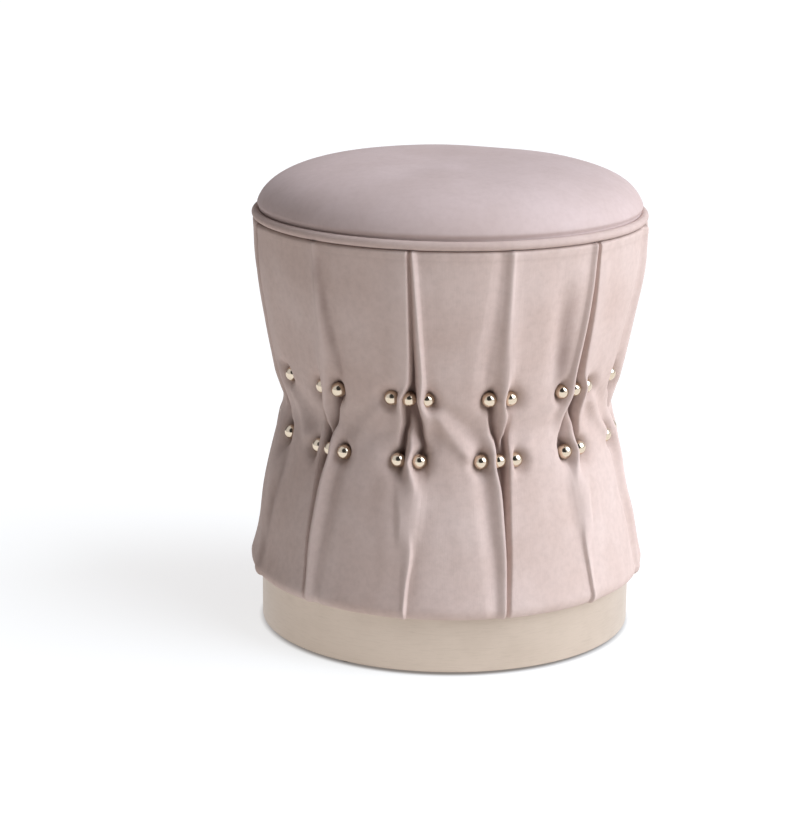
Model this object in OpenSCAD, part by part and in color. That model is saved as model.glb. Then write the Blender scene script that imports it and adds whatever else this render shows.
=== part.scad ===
// Round hourglass ottoman: a pleated, waisted side over a plywood frame, a crowned
// seat edged with piping, two rows of metal ball studs, and a metal plinth on four
// levelling glides. Origin: centre of the floor face. Z is up, the front faces -Y.
// Turns are counted in degrees from the front, towards +X.

/* [Seat] */
// Radius to the outside of the piping round the seat
piping_r = 200; // [190:1:215]
// Thickness of the piping
piping_d = 9; // [6:0.5:12]
// Step of the seat cover inside the piping's outer edge
seat_step = 4; // [3:0.5:5]
// Rise of the seat's crown above the middle of the piping
crown_rise = 53.5; // [40:0.5:80]
// Thickness of the fibre wadding over the seat foam
wadding_t = 8; // [4:0.5:12]
// Thickness of the cover cloth
cloth_t = 1.5; // [1:0.1:2.5]

/* [Side] */
// Height of the side from the hem to the middle of the piping
side_h = 364; // [340:1:400]
// Radius of the hem at the foot of the side
hem_r = 205.5; // [196:0.5:220]
// Radius of the side at its waist
waist_r = 167; // [160:1:176]
// Step of the side inside the piping's outer edge
side_step = 1.5; // [1:0.5:3]
// Height of the waist above the hem
waist_rise = 174; // [165:0.5:190]
// Drop of the lower row of studs below the waist
lower_row_drop = 27; // [20:0.5:34]
// Rise of the upper row of studs above the waist
upper_row_lift = 35; // [26:0.5:44]
// Depth of the quilted lining behind the side's cover
lining_t = 5; // [4:0.5:8]
// Reach of the hem turned in under the frame
hem_turn_in = 28; // [24:1:34]
// Depth of the padding round the bottom board's edge
edge_padding = 15; // [13:1:18]
// Depth of the padding and bent board at the foot of the ribs
foot_padding = 28; // [24:1:34]
// Depth of the padding and bent board round the top board
head_padding = 28.5; // [24:0.5:34]

/* [Pleats] */
// Number of pleats round the side, an even number
pleat_count = 12; // [8:2:14]
// Turn of the first pleat from the front
first_pleat_turn = -12.5; // [-15:0.5:15]
// Rise of a pleat's ridge over the panels beside it
ridge_rise = 3.5; // [2:0.5:5]
// Distance from a pleat's middle to its outer studs in a group of three
wide_spread = 18; // [14:0.5:22]
// Distance from a pleat's middle to each stud of a pair
narrow_spread = 11; // [9:0.5:13]
// Depth to which the studs draw the cover in
pinch_depth = 10; // [7:0.5:10.5]

/* [Studs] */
// Diameter of a stud's ball
stud_d = 15; // [12:0.5:16]
// Depth to which a ball presses into the cover that it draws in
stud_press = 4; // [2:0.5:4.5]
// Diameter of a stud's pin
pin_d = 2.5; // [2:0.1:4]
// Depth of a pin in its hoop
pin_grip = 10; // [6:0.5:14]

/* [Plinth] */
// Overhang of the hem over the metal band
hem_overhang = 15; // [8:1:20]
// Height of the metal band
plinth_h = 60; // [56:0.5:80]
// Gap under the band
plinth_gap = 3; // [2:0.5:6]
// Thickness of the metal band
band_t = 1.2; // [0.8:0.1:2]
// Thickness of each plywood board
board_t = 18; // [15:1:21]
// Width of the ring at the top of the plinth
plinth_ring_w = 60; // [50:1:80]
// Length of a spacer block between the plinth's boards
block_l = 56; // [40:1:70]
// Width of a spacer block
block_w = 34; // [26:1:40]
// Step of the base board above the band's lower edge
base_step = 3; // [2:0.5:5]

/* [Glides] */
// Turn of the first glide from the front
glide_turn = -32; // [-45:1:-20]
// Distance of the glides' middles inside the band's outer face
glide_inset = 18; // [16:0.5:30]
// Diameter of a glide's pad
glide_d = 25; // [18:0.5:28]
// Diameter of a glide's threaded stem
stem_d = 8; // [6:1:10]
// Depth of the stem in the pad
stem_sink = 3; // [2:0.5:3.5]
// Diameter of the threaded insert
insert_d = 12; // [11:0.5:16]
// Length of the threaded insert
insert_l = 15; // [10:0.5:15]
// Travel of a glide out of its insert
glide_travel = 8; // [5:0.5:10]

/* [Frame] */
// Thickness of a rib
rib_t = 15; // [12:1:18]
// Radius of the ribs' inner edges
rib_inner_r = 60; // [40:1:80]
// Distance of the ribs' outer edges inside the waist
rib_inset = 17; // [15:0.5:20]
// Distance of the two hoops' outer faces inside the waist
hoop_inset = 9; // [8:0.5:10]
// Width of a waist hoop
hoop_w = 22; // [16:1:26]
// Thickness of a waist hoop
hoop_t = 12; // [9:1:15]
// Thickness of the bent fibreboard on the ribs
card_t = 2.5; // [2:0.5:3]
// Depth of the seat foam under the middle of the piping
seat_foam_depth = 16.5; // [12:0.5:24]

/* [Fasteners] */
// Diameter of a plinth bolt
bolt_d = 6; // [5:1:8]
// Diameter of a plinth bolt's head
bolt_head_d = 14; // [12:1:16]
// Thickness of a plinth bolt's head
bolt_head_h = 2.5; // [2:0.5:4]
// Distance of the plinth bolts inside the band's outer face
bolt_inset = 34; // [28:1:40]
// Diameter of a tee nut's flange
tee_flange_d = 20; // [16:1:24]
// Thickness of a tee nut's flange
tee_flange_t = 1.5; // [1:0.1:2]
// Diameter of a tee nut's barrel
tee_barrel_d = 8.5; // [8:0.5:11]
// Length of a tee nut's barrel
tee_barrel_l = 9; // [7:0.5:12]
// Diameter of a wood screw
screw_d = 4; // [3:0.5:5]
// Length of a wood screw
screw_l = 45; // [35:1:60]
// Distance of the inner wood screws outside the ribs' inner edges
inner_screw_inset = 25; // [15:1:30]
// Distance of the lower outer wood screws inside the foot of the ribs
foot_screw_inset = 36; // [20:1:40]
// Distance of the upper outer wood screws inside the top board's edge
head_screw_inset = 30; // [15:1:36]
// Number of staples round the hem
staple_count = 36; // [12:1:60]
// Width of a staple's crown
staple_w = 10; // [8:0.5:13]
// Length of a staple's legs
staple_l = 8; // [6:0.5:12]
// Thickness of the staple wire
staple_t = 0.7; // [0.5:0.1:1]
// Thickness of the dust cover under the frame
dust_cover_t = 0.8; // [0.5:0.1:1.2]

/* [Hidden] */
// Clearance between pieces that lie against each other
seat_gap = 0.3;
// Radial clearance round bolts, screws and pins in their holes
hole_gap = 0.1;
// Radial clearance of the glides' running fit
run_gap = 0.05;
// Overrun of a cut past the face that it opens
cut = 1;
// Sides of a round solid
$fn = 96;
// Sides of the pleated cover's inner wall
inner_sides = 2 * pleat_count;
// Number of levelling glides and of plinth bolts
glide_count = 4;
// Number of upright ribs
rib_count = 6;

// Radii, from the driving ones inwards
seat_r = piping_r - seat_step;
side_top_r = piping_r - side_step;
piping_mid_r = piping_r - piping_d / 2;
plinth_r = hem_r - hem_overhang;
glide_circle_r = plinth_r - glide_inset;
bolt_circle_r = plinth_r - bolt_inset;
bottom_board_r = hem_r - edge_padding;
rib_foot_r = hem_r - foot_padding;
top_board_r = side_top_r - head_padding;
rib_waist_r = waist_r - rib_inset;
hoop_r = waist_r - hoop_inset;
inner_screw_r = rib_inner_r + inner_screw_inset;
foot_screw_r = rib_foot_r - foot_screw_inset;
head_screw_r = top_board_r - head_screw_inset;

// Degrees in a full turn
full_turn = 360;

// Heights, from the floor up
plinth_z = plinth_gap;
base_z = plinth_z + base_step;
hem_z = plinth_z + plinth_h;
bottom_board_z = hem_z + cloth_t;
waist_z = hem_z + waist_rise;
lower_row_z = waist_z - lower_row_drop;
upper_row_z = waist_z + upper_row_lift;
piping_z = hem_z + side_h;
side_top_z = piping_z - piping_d / 2 - seat_gap;
top_board_z = piping_z - seat_foam_depth - board_t;
rib_foot_z = bottom_board_z + board_t;
seat_z = piping_z + piping_d / 2 + seat_gap;
lower_hoop_z = lower_row_z - hoop_t / 2;
upper_hoop_z = upper_row_z - hoop_t / 2;

// The side's outline: rows given as shares of the way from the waist to the hem and
// from the waist to the top, each with its share of the change in radius
lower_rise_shares = [1, 0.86, 0.57];
lower_swell_shares = [1, 0.85, 0.63];
upper_rise_shares = [0.46, 0.73, 1];
upper_swell_shares = [0.6, 0.87, 1];
lower_row_swell_share = 0.18;
upper_row_swell_share = 0.25;

function lower_radius(share) = waist_r + (hem_r - waist_r) * share;
function upper_radius(share) = waist_r + (side_top_r - waist_r) * share;
function lower_height(share) = waist_z - (waist_z - hem_z) * share;
function upper_height(share) = waist_z + (side_top_z - waist_z) * share;

row_z = concat(
    [for (s = lower_rise_shares) lower_height(s)],
    [lower_row_z, waist_z, upper_row_z],
    [for (s = upper_rise_shares) upper_height(s)]);
row_r = concat(
    [for (s = lower_swell_shares) lower_radius(s)],
    [lower_radius(lower_row_swell_share), waist_r, upper_radius(upper_row_swell_share)],
    [for (s = upper_swell_shares) upper_radius(s)]);
lower_stud_row = len(lower_rise_shares);
waist_row = lower_stud_row + 1;
upper_stud_row = waist_row + 1;
top_row = len(row_z) - 1;

// Relief of a pleat across its width, as shares of the wide spread and of the ridge
// rise: a double fold has a groove between two ridges, a single fold has one ridge
column_shares = [-1.5, -1.05, -0.67, -0.33, 0, 0.33, 0.67, 1.05, 1.5];
double_relief_shares = [0, -0.6, 0.8, 1, -0.9, 1, 0.8, -0.6, 0];
single_relief_shares = [0, -0.2, -0.7, 0.5, 1, 0.5, -0.7, -0.2, 0];
double_pinch_shares = [0, 1, 0.3, 0.15, 1, 0.15, 0.3, 1, 0];
single_pinch_shares = [0, 0.5, 1, 0.4, 0.1, 0.4, 1, 0.5, 0];
// Rise of the pleats in each row: they fade towards the hem and the piping
fade_shares = [0.3, 0.6, 0.9, 1, 1, 1, 0.9, 0.7, 0.35];
// Width of the pleats in each row: they narrow towards the hem and the piping
width_shares = [0.5, 0.6, 0.85, 1, 1, 1, 0.85, 0.65, 0.45];

// Radius of the unpleated face at a height
function face_radius(z) = lookup(z, [for (i = [0:top_row]) [row_z[i], row_r[i]]]);

// Inner wall of the side's cover: it clears the hoops at the stud rows
flat_share = cos(full_turn / (2 * inner_sides));
wall_at_hoop_r = (hoop_r + seat_gap) / flat_share;
board_edge_z = rib_foot_z + seat_gap;
wall_z = [hem_z + cloth_t, board_edge_z, lower_row_z, upper_row_z, side_top_z];
wall_r = [
    hem_r - lining_t, face_radius(board_edge_z) - lining_t, wall_at_hoop_r,
    wall_at_hoop_r, side_top_r - lining_t];
hem_edge_r = hem_r - hem_turn_in;

// Radius of the side foam, just inside the cover's inner wall
function foam_radius(z) = lookup(z, [for (i = [0:len(wall_z) - 1]) [wall_z[i], wall_r[i]]])
    * flat_share - seat_gap;

// Turn of one pleat, and of the pieces set at even steps round the frame
function pleat_turn(i) = first_pleat_turn + full_turn * i / pleat_count;
function step_turn(start, i, count) = start + full_turn * i / count;
function arc_turn(length, radius) = length / radius * full_turn / (2 * PI);
function polar(radius, turn, z) = [radius * sin(turn), -radius * cos(turn), z];

// Sizes that follow from the stack of boards and the fasteners through it
glide_r = glide_d / 2;
pad_h = base_z - seat_gap;
stem_z = pad_h - stem_sink;
stem_l = stem_sink + seat_gap + insert_l + glide_travel;
bolt_turn = glide_turn + full_turn / (2 * glide_count);
bolt_l = bottom_board_z + board_t - base_z;
block_h = hem_z - board_t - base_z - board_t;
screw_head_h = screw_d / 2;
// Steps along the crown's outline
seat_steps = 20;

// A piece set on the front of the frame, turned to its place
module at_turn(turn, radius, z) {
    rotate([0, 0, turn])
        translate([0, -radius, z])
            children();
}

// A flat ring with a round hole
module ring(outer_r, inner_r, height) {
    difference() {
        cylinder(r = outer_r, h = height);
        translate([0, 0, -cut])
            cylinder(r = inner_r, h = height + 2 * cut);
    }
}

// Glides

module glide_pad(i) {
    color("#1d1d1f")
        at_turn(step_turn(glide_turn, i, glide_count), glide_circle_r, 0)
            difference() {
                union() {
                    cylinder(r1 = glide_r - base_step / 4, r2 = glide_r, h = pad_h / 4);
                    translate([0, 0, pad_h / 4])
                        cylinder(r = glide_r, h = pad_h * 3 / 4);
                }
                translate([0, 0, stem_z])
                    cylinder(r = stem_d / 2 + run_gap, h = stem_sink + cut);
            }
}

module glide_stem(i) {
    color("silver")
        at_turn(step_turn(glide_turn, i, glide_count), glide_circle_r, stem_z)
            cylinder(r = stem_d / 2, h = stem_l);
}

module glide_inserts() {
    color("#b8a467")
        for (i = [0:glide_count - 1])
            at_turn(step_turn(glide_turn, i, glide_count), glide_circle_r, base_z)
                ring(insert_d / 2, stem_d / 2 + run_gap, insert_l);
}

// Plinth

module plinth_band() {
    color("#c3b59b")
        translate([0, 0, plinth_z])
            ring(plinth_r, plinth_r - band_t, plinth_h);
}

module bolt_holes(z, height) {
    for (i = [0:glide_count - 1])
        at_turn(step_turn(bolt_turn, i, glide_count), bolt_circle_r, z - cut)
            cylinder(r = bolt_d / 2 + hole_gap, h = height + 2 * cut);
}

module plinth_base_board() {
    color("#c9a877")
        difference() {
            translate([0, 0, base_z])
                cylinder(r = plinth_r - band_t - seat_gap, h = board_t);
            bolt_holes(base_z, board_t);
            for (i = [0:glide_count - 1]) {
                at_turn(step_turn(glide_turn, i, glide_count), glide_circle_r, base_z - cut)
                    cylinder(r = insert_d / 2 + hole_gap, h = insert_l + cut);
                at_turn(step_turn(glide_turn, i, glide_count), glide_circle_r, base_z)
                    cylinder(r = stem_d / 2 + hole_gap * 2, h = board_t + cut);
                at_turn(step_turn(bolt_turn, i, glide_count), bolt_circle_r, base_z - cut)
                    cylinder(r = bolt_head_d / 2 + hole_gap, h = bolt_head_h + cut);
            }
        }
}

module plinth_blocks() {
    color("#d2b387")
        difference() {
            for (i = [0:glide_count - 1])
                at_turn(step_turn(bolt_turn, i, glide_count), bolt_circle_r, base_z + board_t)
                    translate([-block_l / 2, -block_w / 2, 0])
                        cube([block_l, block_w, block_h]);
            bolt_holes(base_z + board_t, block_h);
        }
}

module plinth_ring() {
    color("#c9a877")
        difference() {
            translate([0, 0, hem_z - board_t])
                ring(plinth_r - band_t - seat_gap, plinth_r - plinth_ring_w, board_t);
            bolt_holes(hem_z - board_t, board_t);
        }
}

module plinth_bolts() {
    color("#9a9a98")
        for (i = [0:glide_count - 1])
            at_turn(step_turn(bolt_turn, i, glide_count), bolt_circle_r, base_z) {
                cylinder(r = bolt_head_d / 2, h = bolt_head_h);
                cylinder(r = bolt_d / 2, h = bolt_l);
            }
}

module tee_nut_shape(extra) {
    translate([0, 0, -tee_barrel_l])
        cylinder(r = tee_barrel_d / 2 + extra, h = tee_barrel_l + tee_flange_t / 2);
    cylinder(r = tee_flange_d / 2 + extra, h = tee_flange_t);
}

module tee_nuts() {
    color("#8d8d8b")
        for (i = [0:glide_count - 1])
            at_turn(step_turn(bolt_turn, i, glide_count), bolt_circle_r, rib_foot_z)
                difference() {
                    tee_nut_shape(0);
                    translate([0, 0, -tee_barrel_l - cut])
                        cylinder(r = bolt_d / 2 + hole_gap, h = tee_barrel_l + tee_flange_t + 2 * cut);
                }
}

// Frame

// One countersunk wood screw, head down at the origin, enlarged by extra for its hole
module wood_screw(extra, overrun) {
    cylinder(r1 = screw_d + extra, r2 = screw_d / 2 + extra, h = screw_head_h);
    translate([0, 0, -overrun])
        cylinder(r = screw_d / 2 + extra, h = screw_l + overrun);
}

module all_frame_screws(extra, overrun) {
    for (i = [0:rib_count - 1], r = [inner_screw_r, foot_screw_r])
        at_turn(step_turn(glide_turn, i, rib_count), r, bottom_board_z)
            wood_screw(extra, overrun);
    for (i = [0:rib_count - 1], r = [inner_screw_r, head_screw_r])
        at_turn(step_turn(glide_turn, i, rib_count), r, top_board_z + board_t)
            rotate([180, 0, 0])
                wood_screw(extra, overrun);
}

module frame_screws() {
    color("#b9a35e")
        all_frame_screws(0, 0);
}

module bottom_board() {
    color("#c9a877")
        difference() {
            translate([0, 0, bottom_board_z])
                cylinder(r = bottom_board_r, h = board_t);
            bolt_holes(bottom_board_z, board_t);
            for (i = [0:glide_count - 1])
                at_turn(step_turn(bolt_turn, i, glide_count), bolt_circle_r, rib_foot_z)
                    translate([0, 0, -tee_barrel_l - hole_gap])
                        cylinder(r = tee_barrel_d / 2 + hole_gap, h = tee_barrel_l + cut);
            all_frame_screws(hole_gap, cut);
        }
}

module dust_cover() {
    color("#202022")
        translate([0, 0, bottom_board_z - dust_cover_t])
            difference() {
                cylinder(r = hem_edge_r - seat_gap, h = dust_cover_t);
                bolt_holes(0, dust_cover_t);
            }
}

// Outline of a rib, with a notch for each waist hoop
module rib_outline() {
    notch_r = hoop_r - hoop_w - seat_gap;
    polygon([
        [rib_inner_r, rib_foot_z],
        [rib_foot_r, rib_foot_z],
        [rib_waist_r, lower_hoop_z],
        [notch_r, lower_hoop_z],
        [notch_r, lower_hoop_z + hoop_t],
        [rib_waist_r, lower_hoop_z + hoop_t],
        [rib_waist_r, upper_hoop_z],
        [notch_r, upper_hoop_z],
        [notch_r, upper_hoop_z + hoop_t],
        [rib_waist_r, upper_hoop_z + hoop_t],
        [top_board_r, top_board_z],
        [rib_inner_r, top_board_z]]);
}

module frame_rib(i) {
    color("#d8bc90")
        difference() {
            rotate([0, 0, step_turn(glide_turn, i, rib_count)])
                translate([-rib_t / 2, 0, 0])
                    rotate([90, 0, 0])
                        rotate([0, -90, 0])
                            mirror([0, 0, 1])
                                linear_extrude(rib_t)
                                    rib_outline();
            all_frame_screws(hole_gap, cut);
        }
}

// A waist hoop, bored for the studs of its row
module waist_hoop(z, row) {
    difference() {
        translate([0, 0, z])
            ring(hoop_r, hoop_r - hoop_w, hoop_t);
        each_stud(row)
            stud_pin(row, hole_gap);
    }
}

module lower_hoop() {
    color("#d2b387")
        waist_hoop(lower_hoop_z, lower_stud_row);
}

module upper_hoop() {
    color("#d2b387")
        waist_hoop(upper_hoop_z, upper_stud_row);
}

module top_board() {
    color("#c9a877")
        difference() {
            translate([0, 0, top_board_z])
                cylinder(r = top_board_r, h = board_t);
            all_frame_screws(hole_gap, cut);
        }
}

// A bent board that closes the ribs between two heights
module card(foot_r, foot_z, head_r, head_z) {
    rotate_extrude()
        polygon([
            [foot_r + seat_gap, foot_z],
            [foot_r + seat_gap + card_t, foot_z],
            [head_r + seat_gap + card_t, head_z],
            [head_r + seat_gap, head_z]]);
}

module lower_card() {
    color("#8a6a4a")
        card(rib_foot_r, rib_foot_z, rib_waist_r, lower_hoop_z - seat_gap);
}

module upper_card() {
    color("#8a6a4a")
        card(rib_waist_r, upper_hoop_z + hoop_t + seat_gap, top_board_r, top_board_z);
}

// Side foam and cover

card_skin = 2 * seat_gap + card_t;

module lower_side_foam() {
    color("#efe6c8")
        rotate_extrude()
            polygon([
                [bottom_board_r + seat_gap, bottom_board_z],
                [foam_radius(bottom_board_z), bottom_board_z],
                [foam_radius(board_edge_z), board_edge_z],
                [foam_radius(lower_hoop_z - seat_gap), lower_hoop_z - seat_gap],
                [rib_waist_r + card_skin, lower_hoop_z - seat_gap],
                [rib_foot_r + card_skin, rib_foot_z],
                [bottom_board_r + seat_gap, rib_foot_z]]);
}

module waist_foam() {
    foot_z = lower_hoop_z + hoop_t + seat_gap;
    head_z = upper_hoop_z - seat_gap;
    color("#efe6c8")
        rotate_extrude()
            polygon([
                [rib_waist_r + seat_gap, foot_z],
                [foam_radius(foot_z), foot_z],
                [foam_radius(head_z), head_z],
                [rib_waist_r + seat_gap, head_z]]);
}

module upper_side_foam() {
    foot_z = upper_hoop_z + hoop_t + seat_gap;
    shelf_z = top_board_z + board_t;
    color("#efe6c8")
        rotate_extrude()
            polygon([
                [rib_waist_r + card_skin, foot_z],
                [foam_radius(foot_z), foot_z],
                [foam_radius(shelf_z), shelf_z],
                [top_board_r + seat_gap, shelf_z],
                [top_board_r + seat_gap, top_board_z],
                [top_board_r + card_skin, top_board_z]]);
}

// Columns of the pleated face: one in the middle of each panel, then those of a pleat
columns = len(column_shares) + 1;
ring_points = pleat_count * columns;
middle_column = columns / 2;

// A pleat has its double fold above the waist and its single one below, and the next
// pleat has them the other way round
function is_double(pleat, row) = (pleat % 2 == 0) == (row > waist_row);
function fold_relief(pleat, row, c) = row == waist_row
    ? (double_relief_shares[c] + single_relief_shares[c]) / 2
    : is_double(pleat, row) ? double_relief_shares[c] : single_relief_shares[c];
function fold_pinch(pleat, row, c) = row != lower_stud_row && row != upper_stud_row
    ? 0
    : is_double(pleat, row) ? double_pinch_shares[c] : single_pinch_shares[c];

// One point of the pleated face
function face_point(pleat, row, column) = column == 0
    ? polar(row_r[row], pleat_turn(pleat - 0.5), row_z[row])
    : let (c = column - 1)
        let (across = column_shares[c] * wide_spread * width_shares[row])
        let (rise = fold_relief(pleat, row, c) * ridge_rise * fade_shares[row])
        let (drop = fold_pinch(pleat, row, c) * pinch_depth)
        polar(row_r[row] + rise - drop, pleat_turn(pleat) + arc_turn(across, row_r[row]), row_z[row]);

face_points = [
    for (row = [0:top_row], pleat = [0:pleat_count - 1], column = [0:columns - 1])
        face_point(pleat, row, column)];

// The inner wall, from the top down to the turned-in hem
inner_rings = concat(
    [for (i = [len(wall_z) - 1:-1:0]) [wall_r[i], wall_z[i]]],
    [[hem_edge_r / flat_share, hem_z + cloth_t], [hem_edge_r / flat_share, hem_z]]);
inner_points = [
    for (ring = inner_rings, k = [0:inner_sides - 1])
        polar(ring[0], pleat_turn((k - 1) / 2), ring[1])];
inner_start = len(face_points);

function face_index(row, k) = row * ring_points + k % ring_points;
function inner_index(ring, k) = inner_start + ring * inner_sides + k % inner_sides;

// Triangles that join a ring of the face to a ring of the inner wall, for one half
// pleat: the first points of the face go to its near inner point, the rest to the far one
function rim_half(row, ring, half) =
    let (first = half * middle_column)
    let (turn_at = floor(middle_column / 2))
    concat(
        [for (j = [0:turn_at - 1])
            [face_index(row, first + j), face_index(row, first + j + 1), inner_index(ring, half)]],
        [[face_index(row, first + turn_at), inner_index(ring, half + 1), inner_index(ring, half)]],
        [for (j = [turn_at:middle_column - 1])
            [face_index(row, first + j), face_index(row, first + j + 1), inner_index(ring, half + 1)]]);
function flipped(faces) = [for (f = faces) [f[2], f[1], f[0]]];
function quad(a, b, c, d) = [[a, b, c], [a, c, d]];

face_triangles = [
    for (row = [0:top_row - 1], k = [0:ring_points - 1])
        each quad(
            face_index(row, k), face_index(row + 1, k),
            face_index(row + 1, k + 1), face_index(row, k + 1))];
inner_triangles = [
    for (ring = [0:len(inner_rings) - 2], k = [0:inner_sides - 1])
        each quad(
            inner_index(ring, k), inner_index(ring + 1, k),
            inner_index(ring + 1, k + 1), inner_index(ring, k + 1))];
top_rim = [for (half = [0:inner_sides - 1]) each rim_half(top_row, 0, half)];
hem_rim = [for (half = [0:inner_sides - 1]) each rim_half(0, len(inner_rings) - 1, half)];

module side_cover() {
    color("#cdbab3")
        polyhedron(
            points = concat(face_points, inner_points),
            faces = concat(face_triangles, inner_triangles, flipped(top_rim), hem_rim));
}

module hem_staples() {
    color("#a9a9a6")
        for (i = [0:staple_count - 1])
            at_turn(step_turn(first_pleat_turn, i, staple_count), (hem_edge_r + plinth_r) / 2, hem_z)
                translate([-staple_w / 2, -staple_t / 2, 0]) {
                    cube([staple_w, staple_t, staple_t]);
                    cube([staple_t, staple_t, staple_l]);
                    translate([staple_w - staple_t, 0, 0])
                        cube([staple_t, staple_t, staple_l]);
                }
}

// Studs

// Places of the studs across one pleat: three in a double fold, two in a single one
function stud_places(pleat, row) = is_double(pleat, row)
    ? [-wide_spread, 0, wide_spread]
    : [-narrow_spread, narrow_spread];

// Radius of the balls' middles: each ball is pressed into the cover that it draws in
function stud_circle_r(row) = row_r[row] - pinch_depth - stud_press + stud_d / 2;

module each_stud(row) {
    for (pleat = [0:pleat_count - 1], across = stud_places(pleat, row))
        at_turn(pleat_turn(pleat) + arc_turn(across, row_r[row]), stud_circle_r(row), row_z[row])
            children();
}

// The pin of one stud, pointing at the centre line, enlarged by extra for its hole
module stud_pin(row, extra) {
    rotate([-90, 0, 0])
        cylinder(r = pin_d / 2 + extra, h = stud_circle_r(row) - hoop_r + pin_grip + extra);
}

module studs(row) {
    each_stud(row) {
        sphere(d = stud_d);
        stud_pin(row, 0);
    }
}

module lower_studs() {
    color("#d9c08f")
        studs(lower_stud_row);
}

module upper_studs() {
    color("#d9c08f")
        studs(upper_stud_row);
}

// Seat

// Outline of the crown at a depth under the seat cover's face: it is flat in the middle
// and turns down in a round shoulder
flat_power = 2;
shoulder_power = 0.95;
function crown_point(depth, t) = [
    (seat_r - depth) * pow(sin(t), 1 / flat_power),
    piping_z + (crown_rise - depth) * pow(cos(t), shoulder_power)];
// Parameter at which the crown comes down to a height
function crown_end(depth, z) = acos(pow((z - piping_z) / (crown_rise - depth), 1 / shoulder_power));
function crown_line(depth, z) = [
    for (i = [0:seat_steps]) crown_point(depth, crown_end(depth, z) * i / seat_steps)];
function reversed(points) = [for (i = [len(points) - 1:-1:0]) points[i]];

wadding_depth = cloth_t + seat_gap;
foam_depth = wadding_depth + wadding_t + seat_gap;
seat_foam_r = crown_point(foam_depth, crown_end(foam_depth, seat_z))[0];

// A shell of the crown between two depths, closed along its lower edge
module crown_shell(outer_depth, inner_depth) {
    rotate_extrude()
        polygon(concat(
            crown_line(outer_depth, seat_z),
            reversed(crown_line(inner_depth, seat_z))));
}

module seat_cover() {
    color("#cfc0bc")
        crown_shell(0, cloth_t);
}

module seat_wadding() {
    color("#f4f2ec")
        crown_shell(wadding_depth, wadding_depth + wadding_t);
}

module seat_foam() {
    shelf_z = top_board_z + board_t;
    color("#efe6c8")
        rotate_extrude()
            polygon(concat(
                [[0, shelf_z]],
                crown_line(foam_depth, seat_z),
                [[seat_foam_r, shelf_z]]));
}

// Piping

module piping() {
    flange_r = seat_foam_r + seat_gap;
    color("#c9b8b1")
        rotate_extrude()
            difference() {
                union() {
                    translate([piping_mid_r, piping_z])
                        circle(d = piping_d, $fn = 48);
                    translate([flange_r, piping_z - cloth_t])
                        square([piping_mid_r - flange_r, 2 * cloth_t]);
                }
                translate([piping_mid_r, piping_z])
                    circle(d = piping_d - 2 * cloth_t, $fn = 48);
            }
}

module piping_cord() {
    color("#e9e6df")
        rotate_extrude()
            translate([piping_mid_r, piping_z])
                circle(d = piping_d - 2 * cloth_t - 2 * hole_gap, $fn = 48);
}

glide_pad(0);  // glide_pad_1
glide_pad(1);  // glide_pad_2
glide_pad(2);  // glide_pad_3
glide_pad(3);  // glide_pad_4
glide_stem(0);  // glide_stem_1
glide_stem(1);  // glide_stem_2
glide_stem(2);  // glide_stem_3
glide_stem(3);  // glide_stem_4
glide_inserts();
plinth_band();
plinth_base_board();
plinth_blocks();
plinth_ring();
plinth_bolts();
tee_nuts();
bottom_board();
dust_cover();
frame_rib(0);  // frame_rib_1
frame_rib(1);  // frame_rib_2
frame_rib(2);  // frame_rib_3
frame_rib(3);  // frame_rib_4
frame_rib(4);  // frame_rib_5
frame_rib(5);  // frame_rib_6
lower_hoop();
upper_hoop();
top_board();
frame_screws();
lower_card();
upper_card();
lower_side_foam();
waist_foam();
upper_side_foam();
side_cover();
hem_staples();
lower_studs();
upper_studs();
seat_foam();
seat_wadding();
seat_cover();
piping();
piping_cord();
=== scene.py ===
"""Dress of a round, waisted ottoman: pleated velvet side, crowned seat, ball studs, metal plinth."""

import logging
import math
from dataclasses import dataclass, field
from enum import Enum
from functools import partialmethod
from typing import Any, Optional, Sequence, Union

import bpy
import numpy as np
from mathutils import Matrix, Vector


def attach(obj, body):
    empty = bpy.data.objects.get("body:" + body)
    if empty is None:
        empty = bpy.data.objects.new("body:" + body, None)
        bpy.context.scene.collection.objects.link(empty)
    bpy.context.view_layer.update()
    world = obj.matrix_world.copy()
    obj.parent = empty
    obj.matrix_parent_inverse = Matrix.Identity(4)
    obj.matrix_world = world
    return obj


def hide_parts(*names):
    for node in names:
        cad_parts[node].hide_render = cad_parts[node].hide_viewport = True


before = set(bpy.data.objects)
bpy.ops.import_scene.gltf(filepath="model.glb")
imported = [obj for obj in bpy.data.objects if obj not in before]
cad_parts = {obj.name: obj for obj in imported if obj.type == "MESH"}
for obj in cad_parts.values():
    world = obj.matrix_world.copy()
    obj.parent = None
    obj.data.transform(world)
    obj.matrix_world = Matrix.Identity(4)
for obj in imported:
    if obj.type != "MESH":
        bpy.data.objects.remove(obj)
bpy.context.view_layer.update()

log = logging.getLogger("ottoman")
MM = 0.001
FULL_TURN = 2 * math.pi
BODY = "ottoman"

Array = np.ndarray
Reading = Union[Array, float]
Piece = bpy.types.Object
Material = bpy.types.Material
Triple = tuple[float, float, float]
Colour = Triple
Places = tuple[tuple[float, float], ...]
Patch = tuple[Triple, float, float]
Settings = dict[Any, Any]


def tones(*colours: tuple[int, int, int]) -> tuple[Colour, ...]:
    """Turn colours of 0 to 255 steps into the linear colours that shaders take.

    Args:
        colours: The red, green and blue steps of each colour.

    Returns:
        The linear colours.
    """
    def linear(step: int) -> float:
        """Return one channel in linear light."""
        share = step / 255
        return share / 12.92 if share <= 0.04045 else ((share + 0.055) / 1.055) ** 2.4
    return tuple(tuple(linear(step) for step in colour) for colour in colours)


def ease(share: Array) -> Array:
    """Return a smooth step of shares held between 0 and 1."""
    held = np.clip(share, 0.0, 1.0)
    return held * held * (3 - 2 * held)


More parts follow.
